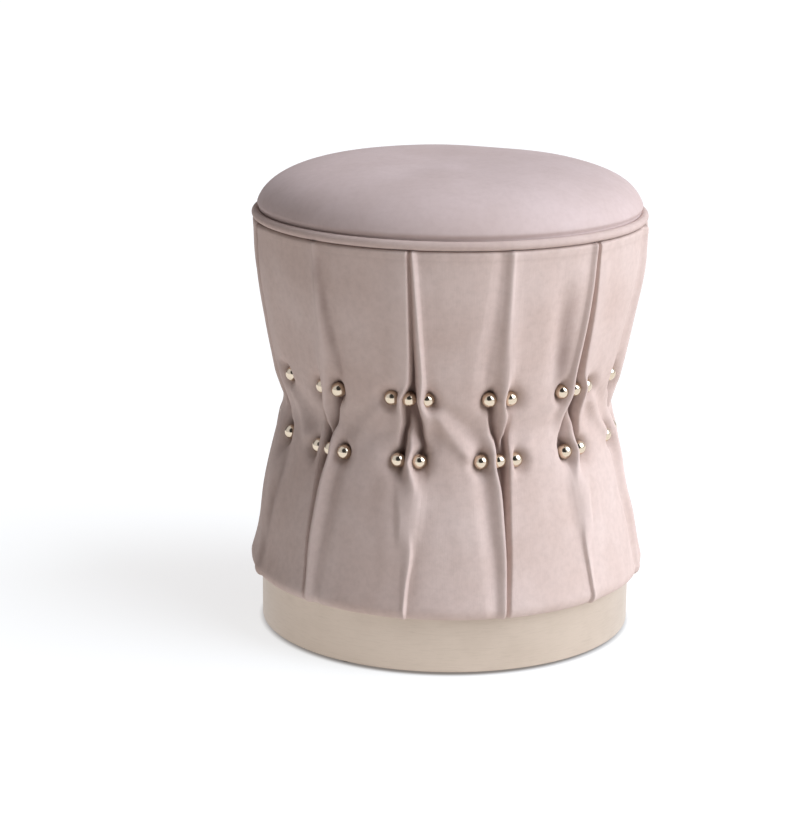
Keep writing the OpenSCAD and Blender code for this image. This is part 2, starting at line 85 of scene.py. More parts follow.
def turn_from(turn: Array, start: float) -> Array:
    """Return how far turns lie from a start, the shorter way round."""
    return (turn - start + math.pi) % FULL_TURN - math.pi


def cubic(t: Array, first: Array, last: Array, leaving: Array, arriving: Array) -> Array:
    """Return a cubic's value at t, from its values and slopes at both ends."""
    return ((2 * t**3 - 3 * t**2 + 1) * first + (t**3 - 2 * t**2 + t) * leaving
            + (3 * t**2 - 2 * t**3) * last + (t**3 - t**2) * arriving)


def blend_keys(keys: Sequence[float], values: Array, at: Array) -> Array:
    """Run a smooth curve through rows of values that are set at keys.

    Args:
        keys: Rising places of the rows.
        values: One row of values for each key.
        at: Places at which the curve is read.

    Returns:
        One row of values for each place.
    """
    keys = np.asarray(keys, float)
    values = np.asarray(values, float).reshape(len(keys), -1)
    slopes = np.diff(values, axis=0) / np.diff(keys)[:, None]
    turning = np.where(slopes[:-1] * slopes[1:] <= 0, 0.0, (slopes[:-1] + slopes[1:]) / 2)
    tangents = np.vstack([slopes[:1], turning, slopes[-1:]])
    place = np.clip(np.asarray(at, float), keys[0], keys[-1])
    i = np.clip(np.searchsorted(keys, place) - 1, 0, len(keys) - 2)
    span = (keys[i + 1] - keys[i])[:, None]
    t = (place - keys[i])[:, None] / span
    return cubic(t, values[i], values[i + 1], span * tangents[i], span * tangents[i + 1])


def curve_across(places: Array, rises: Array, steps: Sequence[int]) -> tuple[Array, ...]:
    """Run a curve without overshoot through the lines of each row.

    Args:
        places: The lines' places, by row.
        rises: The lines' rises, by row.
        steps: Number of points to set between a line and the next.

    Returns:
        Places and rises of the points, by row.
    """
    gaps = np.diff(places, axis=1)
    slopes = np.diff(rises, axis=1) / gaps
    before, after = slopes[:, :-1], slopes[:, 1:]
    same_way = before * after > 0
    both = np.where(same_way, before + after, 1.0)
    inner = np.where(same_way, 2 * before * after / both, 0.0)
    flat = np.zeros((len(places), 1))
    tangents = np.hstack([flat, inner, flat])
    across, rise = [], []
    for i, count in enumerate(steps):
        t = np.arange(count)[None, :] / count
        here, there = slice(i, i + 1), slice(i + 1, i + 2)
        gap = gaps[:, here]
        across.append(places[:, here] + gap * t)
        rise.append(cubic(t, rises[:, here], rises[:, there],
                          gap * tangents[:, here], gap * tangents[:, there]))
    return np.hstack([*across, places[:, -1:]]), np.hstack([*rise, rises[:, -1:]])


def ripples(seed: int, count: int, waves: tuple[int, int], along: tuple[float, float],
            turn: Array, place: Array, fading: float = 0.0) -> Array:
    """Return smooth waves round and along a piece, the same each run.

    Args:
        seed: Seed of the draws.
        count: Number of waves.
        waves: Range of how often they rise round the circle.
        along: Range of their phase for each metre along.
        turn: Turns of the points.
        place: Heights or radii of the points.
        fading: Power by which finer waves are lower.

    Returns:
        Their sum at each point.
    """
    draw = np.random.default_rng(seed)
    rise = np.zeros(np.broadcast_shapes(turn.shape, place.shape))
    for _ in range(count):
        often = draw.integers(*waves)
        steep = draw.uniform(*along)
        shift, lift = draw.uniform(0, FULL_TURN, 2)
        rise += np.sin(turn * often + shift) * np.sin(place * steep + lift) / often**fading
    return rise


# Shader nodes

class Socket:
    """One output of a shader node, or a plain number, for maths written as expressions."""

    def __init__(self, tree: "ShaderTree", link: Any) -> None:
        """Keep the tree and the output or number."""
        self.tree = tree
        self.link = link

    def math(self, operation: str, *others: Any) -> "Socket":
        """Add a Math node that works on this socket and others."""
        return self.tree.add("ShaderNodeMath", {"operation": operation}, dict(enumerate((self, *others))))

    def __rsub__(self, other: Any) -> "Socket":
        """Return other minus this."""
        return Socket(self.tree, other).math("SUBTRACT", self)

    def clamped(self) -> "Socket":
        """Return this held between 0 and 1."""
        return self.math("MAXIMUM", 0.0).math("MINIMUM", 1.0)

    __add__ = __radd__ = partialmethod(math, "ADD")
    __sub__ = partialmethod(math, "SUBTRACT")
    __mul__ = partialmethod(math, "MULTIPLY")
    __pow__ = partialmethod(math, "POWER")


def set_node(node: bpy.types.Node, links: bpy.types.NodeLinks, settings: Optional[Settings],
             inputs: Optional[Settings]) -> None:
    """Set up a new node.

    Args:
        node: The node.
        links: The links of its tree.
        settings: Its own settings.
        inputs: Values, nodes or sockets by the input's name or number.
    """
    for key, value in (settings or {}).items():
        setattr(node, key, value)
    for key, value in (inputs or {}).items():
        value = value.link if isinstance(value, Socket) else value
        value = value.outputs[0] if isinstance(value, bpy.types.Node) else value
        if isinstance(value, bpy.types.NodeSocket):
            links.new(value, node.inputs[key])
        elif isinstance(value, tuple) and node.inputs[key].type == "RGBA":
            node.inputs[key].default_value = (*value, 1.0)
        else:
            node.inputs[key].default_value = value


class ShaderTree:
    """A material's or a world's nodes, added one at a time and laid out by themselves."""

    def __init__(self, owner: Union[Material, bpy.types.World]) -> None:
        """Empty the owner's nodes and keep them."""
        owner.use_nodes = True
        self.owner = owner
        self.nodes = owner.node_tree.nodes
        self.links = owner.node_tree.links
        self.nodes.clear()

    @classmethod
    def of_material(cls, name: str) -> "ShaderTree":
        """Start the tree of a new material."""
        return cls(bpy.data.materials.new(name))

    def add(self, kind: str, settings: Optional[Settings] = None,
            inputs: Optional[Settings] = None, output: Any = 0) -> Socket:
        """Add one node.

        Args:
            kind: The node's type.
            settings: Its own settings.
            inputs: Values or sockets by the input's name or number.
            output: Name or number of the output to return.

        Returns:
            The chosen output.
        """
        node = self.nodes.new(kind)
        node.location = (220 * len(self.nodes), 0)
        set_node(node, self.links, settings, inputs)
        return Socket(self, node.outputs[output] if len(node.outputs) else None)

    def place(self, stretch: Triple = (1, 1, 1), uv: bool = False) -> Socket:
        """Return the piece's own coordinates, stretched.

        Args:
            stretch: Scale along each axis.
            uv: Read the piece's UV map and not its object coordinates.

        Returns:
            The coordinates.
        """
        source = self.add("ShaderNodeTexCoord", output="UV" if uv else "Object")
        return self.add("ShaderNodeMapping", inputs={"Vector": source, "Scale": stretch})

    def attribute(self, name: str) -> Socket:
        """Return the number that the piece stores under a name."""
        return self.add("ShaderNodeAttribute", {"attribute_name": name}, output="Fac")

    def noise(self, where: Socket, scale: float, detail: float = 3.0,
              roughness: float = 0.5) -> Socket:
        """Return cloudy noise from 0 to 1 at a place."""
        return self.add("ShaderNodeTexNoise", inputs={
            "Vector": where, "Scale": scale, "Detail": detail, "Roughness": roughness})

    def mix(self, share: Union[Socket, float], first: Any, second: Any) -> Socket:
        """Return a mix of two colours, the second by share."""
        return self.add("ShaderNodeMix", {"data_type": "RGBA"},
                        {0: share, 6: first, 7: second}, output=2)

    def step(self, kind: str, where: Socket, target: Any, start: float, end: float) -> Socket:
        """Measure places against a target and return a smooth step of what comes out.

        Args:
            kind: DISTANCE or DOT_PRODUCT.
            where: The places or directions.
            target: The place or direction to measure against.
            start: Measure at which the step is 0.
            end: Measure at which it is 1.

        Returns:
            The step.
        """
        measure = self.add("ShaderNodeVectorMath", {"operation": kind}, {0: where, 1: target}, "Value")
        return self.add("ShaderNodeMapRange", {"interpolation_type": "SMOOTHSTEP"},
                        {"Value": measure, "From Min": start, "From Max": end})

    def bump(self, height: Socket, strength: float, distance: float) -> Socket:
        """Return a normal raised by height over a distance in metres."""
        inputs = {"Height": height, "Strength": strength, "Distance": distance}
        return self.add("ShaderNodeBump", inputs=inputs)

    def finish(self, **inputs: Any) -> Material:
        """Close the tree with a Principled shader.

        Args:
            inputs: Its inputs, with underscores for the spaces in their names.

        Returns:
            The finished material.
        """
        named = {key.replace("_", " "): value for key, value in inputs.items()}
        shader = self.add("ShaderNodeBsdfPrincipled", inputs=named)
        self.add("ShaderNodeOutputMaterial", inputs={"Surface": shader})
        return self.owner


# Finishes

@dataclass(frozen=True)
class Finish:
    """A named material."""

    name: str

    def build(self) -> Material:
        """Build the material, as each kind of finish says."""
        raise NotImplementedError

    def material(self) -> Material:
        """Return the material, built when it is first needed."""
        return bpy.data.materials.get(self.name) or self.build()


@dataclass(frozen=True)
class VelvetFinish(Finish):
    """Brushed matte velvet: short nap and soft clouding; where folded, a painted highlight on the crests
    and painted shade in the creases.
    """

    # light: pale tone of the clouding, and where folded the painted highlight on crests; deep: dark tone
    # of the nap, and where folded the painted shade in creases.
    base: Colour
    light: Colour
    deep: Colour
    sheen: float = 0.15
    streaks: float = 0.0
    folded: bool = False
    cloud_scale: float = 11.0
    nap_scale: float = 150.0
    pile_scale: float = 1500.0
    streak_stretch: Triple = (900.0, 60.0, 1.0)
    highlight_share: float = 0.35
    shade_share: float = 0.9

    def build(self) -> Material:
        """Return the velvet's material."""
        tree = ShaderTree.of_material(self.name)
        where = tree.place()
        cloud = tree.noise(where, self.cloud_scale, 5.0, 0.6)
        nap = tree.noise(where, self.nap_scale, 3.0, 0.6)
        pile = tree.noise(where, self.pile_scale, 2.0, 0.5)
        colour = tree.mix(((cloud - 0.38) * 2.2).clamped(), self.base, self.light)
        colour = tree.mix((nap - 0.4).clamped() * 0.3, colour, self.deep)
        rough = 0.78 + nap * 0.15
        # Where folded, paint highlight on the crests and shade in the creases and dimples, from the
        # shares stored on the piece.
        if self.folded:
            for name, share, tone in (("crest", self.highlight_share, self.light),
                                      ("crease", self.shade_share, self.deep)):
                colour = tree.mix(tree.attribute(name).clamped() * share, colour, tone)
        height = nap * 0.5 + pile * 0.25
        if self.streaks:
            along = tree.place(self.streak_stretch, uv=True)
            height = height + tree.noise(along, 1.0, 3.0, 0.55) * self.streaks
        normal = tree.bump(height, 0.4, 0.0006)
        return tree.finish(Base_Color=colour, Roughness=rough, Normal=normal,
                           Sheen_Weight=self.sheen, Sheen_Roughness=0.4,
                           Sheen_Tint=self.light, Specular_IOR_Level=0.2)


@dataclass(frozen=True)
class MetalFinish(Finish):
    """A metal: its colour, how rough it is, and the marks of its brushing and use."""

    colour: Colour
    dark: Colour
    roughness: float
    brush: Triple = (1.0, 1.0, 1.0)
    brush_scale: float = 300.0
    brush_depth: float = 0.00002
    clouding: float = 0.3
    anisotropy: float = 0.0
    metallic: float = 1.0

    def build(self) -> Material:
        """Return the metal's material."""
        tree = ShaderTree.of_material(self.name)
        cloud = tree.noise(tree.place(), 14.0, 4.0, 0.6)
        brushed = tree.noise(tree.place(self.brush), self.brush_scale, 3.0, 0.6)
        marks = (cloud - 0.45).clamped() * self.clouding + (brushed - 0.5).clamped() * self.clouding
        colour = tree.mix(marks, self.colour, self.dark)
        rough = self.roughness + (cloud - 0.5) * 0.12 + (brushed - 0.5) * 0.1
        normal = tree.bump(brushed, 0.4, self.brush_depth)
        return tree.finish(Base_Color=colour, Metallic=self.metallic, Roughness=rough.clamped(),
                           Normal=normal, Anisotropic=self.anisotropy)


@dataclass(frozen=True)
class WoodFinish(Finish):
    """Layered birch board: pale face grain, and dark glue lines where its edge shows."""

    pale: Colour
    dark: Colour
    layer: float = 1.5 * MM

    def build(self) -> Material:
        """Return the board's material."""
        tree = ShaderTree.of_material(self.name)
        grain = tree.noise(tree.place((60.0, 6.0, 60.0)), 3.0, 6.0, 0.6)
        layers = tree.add("ShaderNodeTexWave", {
            "wave_type": "BANDS", "bands_direction": "Z"}, {
            "Vector": tree.place(), "Scale": 1 / (self.layer * FULL_TURN * 3.2),
            "Distortion": 0.6, "Detail": 2.0})
        colour = tree.mix((grain - 0.3) * 1.2, self.pale, self.dark)
        colour = tree.mix((layers ** 6.0) * 0.5, colour, self.dark)
        return tree.finish(Base_Color=colour, Roughness=0.62 + grain * 0.2,
                           Normal=tree.bump(grain, 0.3, 0.0004))


@dataclass(frozen=True)
class PlainFinish(Finish):
    """A matte material of one hue with its own grain, such as foam, board or felt."""

    colour: Colour
    dark: Colour
    scale: float
    depth: float
    roughness: float = 0.9

    def build(self) -> Material:
        """Return the material."""
        tree = ShaderTree.of_material(self.name)
        grain = tree.noise(tree.place(), self.scale, 4.0, 0.65)
        cells = tree.add("ShaderNodeTexVoronoi", inputs={
            "Vector": tree.place(), "Scale": self.scale * 2.2})
        colour = tree.mix((grain - 0.35).clamped() * 1.4, self.colour, self.dark)
        height = grain * 0.6 + cells * 0.4
        return tree.finish(Base_Color=colour, Roughness=self.roughness,
                           Normal=tree.bump(height, 0.5, self.depth))


# The side's dark tone darkens the nap at random and is also the painted shade colour in its creases and
# under the piping.
VELVET_SIDE = VelvetFinish("velvet_side", *tones((193, 170, 160), (207, 187, 179), (84, 56, 46)),
                           streaks=0.5, folded=True)
# The seat's velvet is the side's cloth tinted cooler and pinker, which paints the cooler light falling on
# the crown.
VELVET_SEAT = VelvetFinish("velvet_seat", *tones((188, 167, 161), (201, 181, 177), (140, 112, 106)),
                           sheen=0.2)
VELVET_PIPING = VelvetFinish("velvet_piping", *tones((188, 165, 156), (202, 181, 173), (110, 84, 76)),
                             sheen=0.12)
STUD_GOLD = MetalFinish("stud_gold", *tones((228, 212, 190), (172, 142, 108)), 0.14,
                        brush_depth=0.00001, clouding=0.4)
PLINTH_METAL = MetalFinish("plinth_metal", *tones((203, 186, 170), (166, 148, 131)), 0.34,
                           brush=(1.0, 1.0, 14.0), brush_scale=60.0, clouding=0.8,
                           anisotropy=0.3, metallic=0.6)
ZINC = MetalFinish("zinc_steel", *tones((196, 198, 200), (140, 142, 145)), 0.3)
BRASS = MetalFinish("brass", *tones((214, 186, 120), (160, 128, 70)), 0.3)
YELLOW_STEEL = MetalFinish("yellow_steel", *tones((214, 190, 120), (150, 125, 70)), 0.33)
BIRCH = WoodFinish("birch_board", *tones((222, 194, 150), (160, 118, 74)))
FOAM = PlainFinish("foam", *tones((238, 228, 196), (205, 188, 140)), 260.0, 0.0008)
WADDING = PlainFinish("wadding", *tones((244, 242, 236), (214, 210, 200)), 90.0, 0.002)
CARD = PlainFinish("fibreboard", *tones((150, 118, 84), (106, 78, 52)), 180.0, 0.0003)
DUST_CLOTH = PlainFinish("dust_cloth", *tones((38, 38, 40), (20, 20, 22)), 700.0, 0.0003)
COTTON = PlainFinish("cotton", *tones((236, 232, 222), (200, 192, 176)), 600.0, 0.0004)
BLACK_PLASTIC = PlainFinish("black_plastic", *tones((30, 30, 32), (18, 18, 20)), 900.0, 0.00005,
                            roughness=0.45)


# Meshes

def mesh_piece(name: str, points: Array, faces: Sequence[Sequence[int]],
               material: Material) -> Piece:
    """Make a smooth-shaded mesh object at the origin.

    Args:
        name: The piece's name.
        points: Its vertices.
        faces: Its faces, by vertex numbers.
        material: Its material.

    Returns:
        The new object.
    """
    mesh = bpy.data.meshes.new(name)
    mesh.from_pydata(points.tolist(), [], faces)
    mesh.materials.append(material)
    mesh.shade_smooth()
    piece = bpy.data.objects.new(name, mesh)
    bpy.context.scene.collection.objects.link(piece)
    return piece


def ring_faces(rings: int, around: int, closed: bool = False) -> list[tuple[int, ...]]:
    """Join rings of points, each with the same count, by four-sided faces.

    Args:
        rings: Number of rings.
        around: Points in each ring.
        closed: Join the last ring to the first.

    Returns:
        The faces.
    """
    faces = []
    for i in range(rings if closed else rings - 1):
        near, far = i * around, (i + 1) % rings * around
        for k in range(around):
            after = (k + 1) % around
            faces.append((near + k, near + after, far + after, far + k))
    return faces


def read_rows(items: Any, what: str, width: int, kind: type) -> Array:
    """Return a property of a mesh's items, one row for each."""
    values = np.empty(len(items) * width, kind)
    items.foreach_get(what, values)
    return values.reshape(-1, width)


def point_outwards(piece: Piece) -> Piece:
    """Turn a closed piece's faces outwards if it was made inside out."""
    mesh = piece.data
    mesh.calc_loop_triangles()
    corners = read_rows(mesh.loop_triangles, "vertices", 3, np.int32)
    points = read_rows(mesh.vertices, "co", 3, np.float32).astype(float)
    a, b, c = points[corners].transpose(1, 0, 2)
    if np.einsum("ij,ij->i", a, np.cross(b, c)).sum() < 0:
        mesh.flip_normals()
    return piece


def ring_body(name: str, rings: Sequence[Array], finish: Finish) -> Piece:
    """Make a closed ring-shaped body from rings of points that go once round its section."""
    faces = ring_faces(len(rings), len(rings[0]), closed=True)
    return point_outwards(mesh_piece(name, np.concatenate(rings), faces, finish.material()))


def turned_body(name: str, profile: Array, around: int, finish: Finish,
                lift: Optional[Array] = None,
                centre: Sequence[float] = (0.0, 0.0, 0.0)) -> Piece:
    """Turn a profile round an upright axis into a closed body.

    Args:
        name: The piece's name.
        profile: Radii and heights, whose first and last rows lie on the axis.
        around: Points in each ring.
        finish: Its finish.
        lift: Heights added to each point of each ring.
        centre: Place of the axis.

    Returns:
        The new object.
    """
    turn = full_circle(around)
    inner = profile[1:-1]
    rings = [on_circle(r, turn, z + (0.0 if lift is None else lift[i]))
             for i, (r, z) in enumerate(inner)]
    poles = [(0.0, 0.0, profile[end][1]) for end in (0, -1)]
    points = np.concatenate([*rings, poles]) + np.asarray(centre, float)
    faces = ring_faces(len(inner), around)
    first_pole = len(inner) * around
    last = first_pole - around
    for k in range(around):
        after = (k + 1) % around
        faces.append((after, k, first_pole))
        faces.append((last + k, last + after, first_pole + 1))
    return point_outwards(mesh_piece(name, points, faces, finish.material()))


def full_circle(around: int) -> Array:
    """Return even turns round a full circle."""
    return np.linspace(0, FULL_TURN, around, endpoint=False)


def on_circle(radius: Reading, turn: Reading, height: Reading) -> Array:
    """Return points at a radius and a turn from the front, towards +X, at a height."""
    return np.stack([radius * np.sin(turn), -radius * np.cos(turn), height + 0 * turn], axis=-1)


def dressed(piece: Piece, body: str, slot: str, *nodes: str) -> Piece:
    """Let a piece ride on a body in place of CAD nodes, and report it."""
    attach(piece, body)
    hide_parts(*nodes)
    log.info("%s: %d faces", piece.name, len(piece.data.polygons))
    return piece


# The pleated side

class Fold(Enum):
    """Which half of a pleat is folded double: the one above the waist or the one below."""

    DOUBLE_ABOVE = 1
    DOUBLE_BELOW = -1


@dataclass(frozen=True)
class FoldSection:
    """One section across a pleat: the place and the rise of each line, in millimetres.

    The lines are the left valley, ridge and groove, the middle, and the right groove,
    ridge and valley. The height counts from the waist towards the double fold, and edge
    is where the flat panel begins.
    """

    height: float
    across: tuple[float, ...]
    rise: tuple[float, ...]
    edge: float


def fold_sections(*rows: tuple[Any, ...]) -> tuple[FoldSection, ...]:
    """Return sections from rows of height, places across, rises and edge."""
    return tuple(FoldSection(*row) for row in rows)


SECTIONS_ABOVE = fold_sections(
    (-180, (-14, -8, -4, -0.4, 2.6, 6, 11), (0.4, 0.8, 1.2, 2.6, -1, -0.4, 0), 24),
    (-150, (-15, -9, -4.5, 1.6, 4.6, 8, 13), (0.5, 0.8, 1.2, 3.2, -0.4, -0.3, 0), 27),
    (-115, (-17, -11, -5, 5, 8.6, 11, 16), (1.4, 1.6, 2, 3.9, 0.6, 0, 0), 34),
    (-85, (-20, -13, -5, 1, 8, 13, 19), (1, 0.8, 4, 3.6, 2.6, 1.2, 0.1), 35),
    (-50, (-22, -15, -8, 6, 11, 15, 22), (0.6, 0.2, 1, 4.8, 2.4, 0.8, 0), 35),
    (-36, (-23, -15, -9.5, 3.5, 9.5, 15, 22), (-1, -4, -6, 4.8, -4, -3.6, -0.8), 34),
    (-26, (-22, -15.5, -7.4, 1, 8, 15.5, 22), (-1.5, -6.6, -9.5, 4.6, -9, -6.6, -1.5), 34),
    (-12, (-24, -12.5, -6.6, 3.6, 13.6, 20, 28), (-0.3, -1.2, -9.5, 4.2, -8.5, -3, -0.8), 35),
    (0, (-23, -10, -5.5, 2.2, 10.8, 17, 27), (-0.2, 1.4, -9.6, 1.2, -9, 0.2, -0.6), 35),
    (10, (-20, -7.6, -3.2, 2.8, 10, 17, 27), (0.2, 2.8, -9.8, -4.5, -9.4, 2.8, -0.8), 34),
    (22, (-18, -7, -3.2, 1.6, 7.4, 14.5, 24), (-0.6, 4, -10.4, -9.5, -10.2, 4.2, -1.8), 33),
    (35, (-17, -7, -3.8, 0.6, 5.2, 12.5, 21), (-2.6, 4.6, -10.5, -12.5, -10.5, 4.8, -4.4), 32),
    (54, (-13, -1.6, 1, 2.4, 3.9, 12.2, 17), (1.8, 4, -7.5, -10.5, -7, 4.4, -1), 29),
    (95, (-12, -2.2, 0.1, 1, 2, 8.6, 13), (2.6, 3.6, -4.4, -5.4, -3.2, 4.4, -0.4), 32),
    (137, (-10, -2.6, -0.5, 0.4, 1.4, 6, 11), (2.4, 2.8, -2.6, -3.4, -1.8, 3.7, -0.4), 31),
    (184, (-9, -2.5, -0.8, 0, 0.8, 3.6, 8.6), (1.3, 1.8, -1.5, -2, -1.1, 2.6, -1), 26),
)
SECTIONS_BELOW = fold_sections(
    (-180, (-15.5, -10.5, -6.5, 0, 3.5, 7.5, 12.5), (-0.8, -1.6, -0.6, 2.8, 1.4, 0.6, 0.1), 20),
    (-115, (-19.5, -12.5, -7.5, 0.3, 4.5, 9.5, 15.5), (-1, -2.4, -1.2, 3.6, 2.2, 1, 0.2), 26),
    (-85, (-22.5, -14.5, -8.5, 0.5, 5.5, 10.5, 16.5), (-1.2, -3, -1.6, 3.8, 2.6, 1.2, 0.3), 29),
    (-50, (-23.5, -16.5, -10.5, 3, 7, 11.5, 18.5), (-1.4, -4.2, -3.2, 4.4, 2.4, 0.6, 0), 32),
    (-36, (-23.5, -15.5, -10, 2.5, 8.5, 13.5, 21.5), (-1.2, -4.4, -6, 4.6, -2, -2.4, -0.6), 33),
    (-26, (-22, -15.5, -8, 1.5, 8, 14, 22), (-1.5, -6.6, -9.5, 4.6, -6.5, -5, -1.2), 34),
    (-12, (-22, -13, -8, 6, 9.5, 15, 27), (-0.5, -0.6, -9, 3.6, -3, -1.6, -0.4), 35),
    (0, (-20.5, -10, -4.7, 4.1, 7.3, 12, 25.5), (-0.6, 1.4, -9.2, 1.6, -6, -1.5, -0.4), 35),
    (10, (-18, -6.5, -1.6, 2.4, 5.9, 11.2, 24), (-1.4, 2.8, -8.5, -3, -9, -0.8, -0.4), 34),
    (22, (-16.4, -5, -0.8, 2.6, 6, 11, 21.6), (-2.6, 3.8, -9.5, -8.5, -9.5, -0.4, -0.2), 33),
    (35, (-17.4, -5.6, -2.2, 2, 5.5, 11.6, 21.6), (-4.4, 4.2, -10, -12.5, -10, -0.4, -2.6), 32),
    (61, (-15.4, -2, 1, 2.7, 4.2, 10.1, 17.6), (-4.2, 4, -8.5, -9.5, -8, 0.4, 0.3), 30),
    (99, (-14.2, -1, 1.5, 2.9, 4.1, 8.3, 15.8), (-3.6, 3.6, -5.5, -6.5, -4.8, 0.5, 0.3), 29),
    (138, (-10.6, 0, 1.8, 3, 4, 7.4, 13.4), (-2.6, 2.8, -3.6, -4.4, -3.2, 0.5, 0.2), 25),
    (184, (-9.8, -1.4, 0.3, 1.3, 2.2, 5.2, 10.2), (-1.8, 2, -2.2, -2.8, -2, 0.4, 0.1), 21),
)
FAR_SINGLE, ROW_SINGLE, ROW_DOUBLE, FAR_DOUBLE = -180, -26, 35, 184


@dataclass
class PleatedSide:
    """The gathered cover round the hourglass side, its folds, stud dimples and turned hem."""

    hem_z: float = 63 * MM
    waist_z: float = 237 * MM
    top_z: float = 422.2 * MM
    lower_row_z: float = 210 * MM
    upper_row_z: float = 272 * MM
    lower_row_r: float = 173.93 * MM
    upper_row_r: float = 174.88 * MM
    # Height and radius of the face's outline, in millimetres.
    outline: Places = (
        (63, 205.5), (87.4, 199.7), (137.8, 191.3), (210, 173.9), (237, 167),
        (272, 174.9), (322.2, 185.9), (372.2, 194.4), (422.2, 198.5))
    pleats: int = 12
    first_turn: float = math.radians(-12.5)
    wide_spread: float = 18 * MM
    narrow_spread: float = 11 * MM
    dimple_depth: float = 9.5 * MM
    dimple_reach: float = 11 * MM
    dimple_power: float = 2.6
    narrow_share: float = 0.75
    wide_clear: float = 2.5 * MM
    narrow_clear: float = 3.6 * MM
    drawn_rise: float = 4.2 * MM
    link_sag: float = 5 * MM
    link_width: float = 4.5 * MM
    link_swell: float = 3.5 * MM
    link_trough: float = 2.1
    link_margin: float = 0.04
    link_fade: float = 0.24
    faint_link: float = 0.4
    cloth: float = 1.5 * MM
    lining: float = 5 * MM
    hem_roll: float = 7 * MM
    hem_edge_r: float = 177.5 * MM
    band_clear_r: float = 191.5 * MM
    wall_r: float = 159.7 * MM
    hoop_clear_r: float = 160 * MM
    waist_clear_r: float = 156.5 * MM
    hoop_half: float = 7.5 * MM
    steps: tuple[int, ...] = (5, 5, 7, 6, 6, 7, 5, 5)
    panel_steps: int = 8
    seam_drop: float = 9 * MM
    # Shares of painted shade in the deep fold valleys and round the stud dimples.
    valley_shade: float = 0.85
    dimple_shade: float = 0.3
    lean_reach: float = 30 * MM
    # How far each pleat strays sideways at the top and at the hem, in millimetres.
    leans: Places = (
        (6, 4), (0, 0), (-5, -4), (3, 2), (-2, 4), (4, -3),
        (-4, 2), (2, -5), (5, 3), (-3, -4), (3, 7), (7, -1))
    mirrored: tuple[int, ...] = (2, 5, 8, 9, 10, 11)
    # Slack hollows: turn in degrees, height, half width in degrees, half height, depth, painted shade.
    slack_spots: tuple[tuple[float, ...], ...] = (
        (-86, 100, 16, 38, 3.4, 0), (88, 156, 16, 28, 4.6, 0), (88, 385, 16, 34, -2, 0),
        (-88, 385, 16, 34, -1.4, 0), (35.2, 352, 3.4, 36, 4, 0), (36.8, 306, 3.4, 32, 4, 0),
        (37, 350, 2.6, 32, 0, 0.3), (38.4, 306, 2.6, 28, 0, 0.5), (42.6, 160, 3.2, 26, 1.8, 0),
        (44.4, 150, 2.4, 30, 0, 0.14), (-64.8, 178, 2.1, 24, 2, 0.36),
        (-66.6, 132, 2.1, 24, 2, 0.34), (-68.6, 86, 2.1, 24, 1.8, 0.3),
        (-39.8, 392, 1.3, 18, 1, 0.3), (-38.6, 360, 1.3, 18, 1.2, 0.36),
        (-37.4, 328, 1.3, 18, 1.2, 0.3), (-36.6, 300, 1.3, 16, 1, 0.24))
    hem_drop: float = 3.5 * MM
    roll_steps: int = 7
    uneven_waves: int = 26
    uneven_rise: float = 0.3 * MM
    seed: int = 7
    wander: Array = field(init=False)

    def __post_init__(self) -> None:
        """Draw each pleat's own slight wander and strength."""
        draw = np.random.default_rng(self.seed)
        self.wander = draw.uniform(-1, 1, (self.pleats, 6))

    def fold(self, pleat: int) -> Fold:
        """Return which half of a pleat is double."""
        return Fold.DOUBLE_ABOVE if pleat % 2 == 0 else Fold.DOUBLE_BELOW

    def turn(self, pleat: float) -> float:
        """Return a pleat's turn from the front."""
        return self.first_turn + FULL_TURN * pleat / self.pleats

    def face_radius(self, height: Array) -> Array:
        """Return the unpleated radius at heights."""
        keys = [z * MM for z, _ in self.outline]
        return blend_keys(keys, np.array([r * MM for _, r in self.outline]), height)[:, 0]

    def rows(self) -> Array:
        """Return the heights of the face's rows, closer together round the studs."""
        fine, middle, coarse = 1.5 * MM, 2.0 * MM, 3.8 * MM
        near_studs, near_seam = 15 * MM, self.seam_drop + 4 * MM
        heights = [self.hem_z + self.hem_roll]
        while heights[-1] < self.top_z:
            z = heights[-1]
            near = min(abs(z - self.lower_row_z), abs(z - self.upper_row_z)) < near_studs
            between = self.lower_row_z < z < self.upper_row_z
            at_seam = self.top_z - z < near_seam
            heights.append(z + (fine if near or at_seam else middle if between else coarse))
        return np.array([*heights[:-1], self.top_z])

    def studs(self, row_z: float) -> list[tuple[int, float]]:
        """Return each stud of a row as its pleat and its place across the pleat."""
        upper = row_z == self.upper_row_z
        found = []
        for pleat in range(self.pleats):
            double = (self.fold(pleat) is Fold.DOUBLE_ABOVE) == upper
            spread = (-self.wide_spread, 0.0, self.wide_spread) if double else (
                -self.narrow_spread, self.narrow_spread)
            found.extend((pleat, across) for across in spread)
        return found

    def drawn_heights(self, pleat: int, heights: Array) -> Array:
        """Return the heights among the key sections that a pleat's rows stand for."""
        sign = self.fold(pleat).value
        rows = sorted((z - self.waist_z) * sign for z in (self.lower_row_z, self.upper_row_z))
        ends = sorted((z - self.waist_z) * sign for z in (self.hem_z, self.top_z))
        places = [ends[0], rows[0], 0.0, rows[1], ends[1]]
        return np.interp((heights - self.waist_z) * sign, places,
                         [FAR_SINGLE, ROW_SINGLE, 0, ROW_DOUBLE, FAR_DOUBLE])

    def lean(self, pleat: int, heights: Array) -> Array:
        """Return how far a pleat's fold strays sideways above and below its studs."""
        at_top, at_hem = self.leans[pleat]
        above = np.maximum(heights - self.upper_row_z, 0) / self.lean_reach
        below = np.maximum(self.lower_row_z - heights, 0) / self.lean_reach
        return (at_top * (1 - np.exp(-above)) + at_hem * (1 - np.exp(-below))) * MM

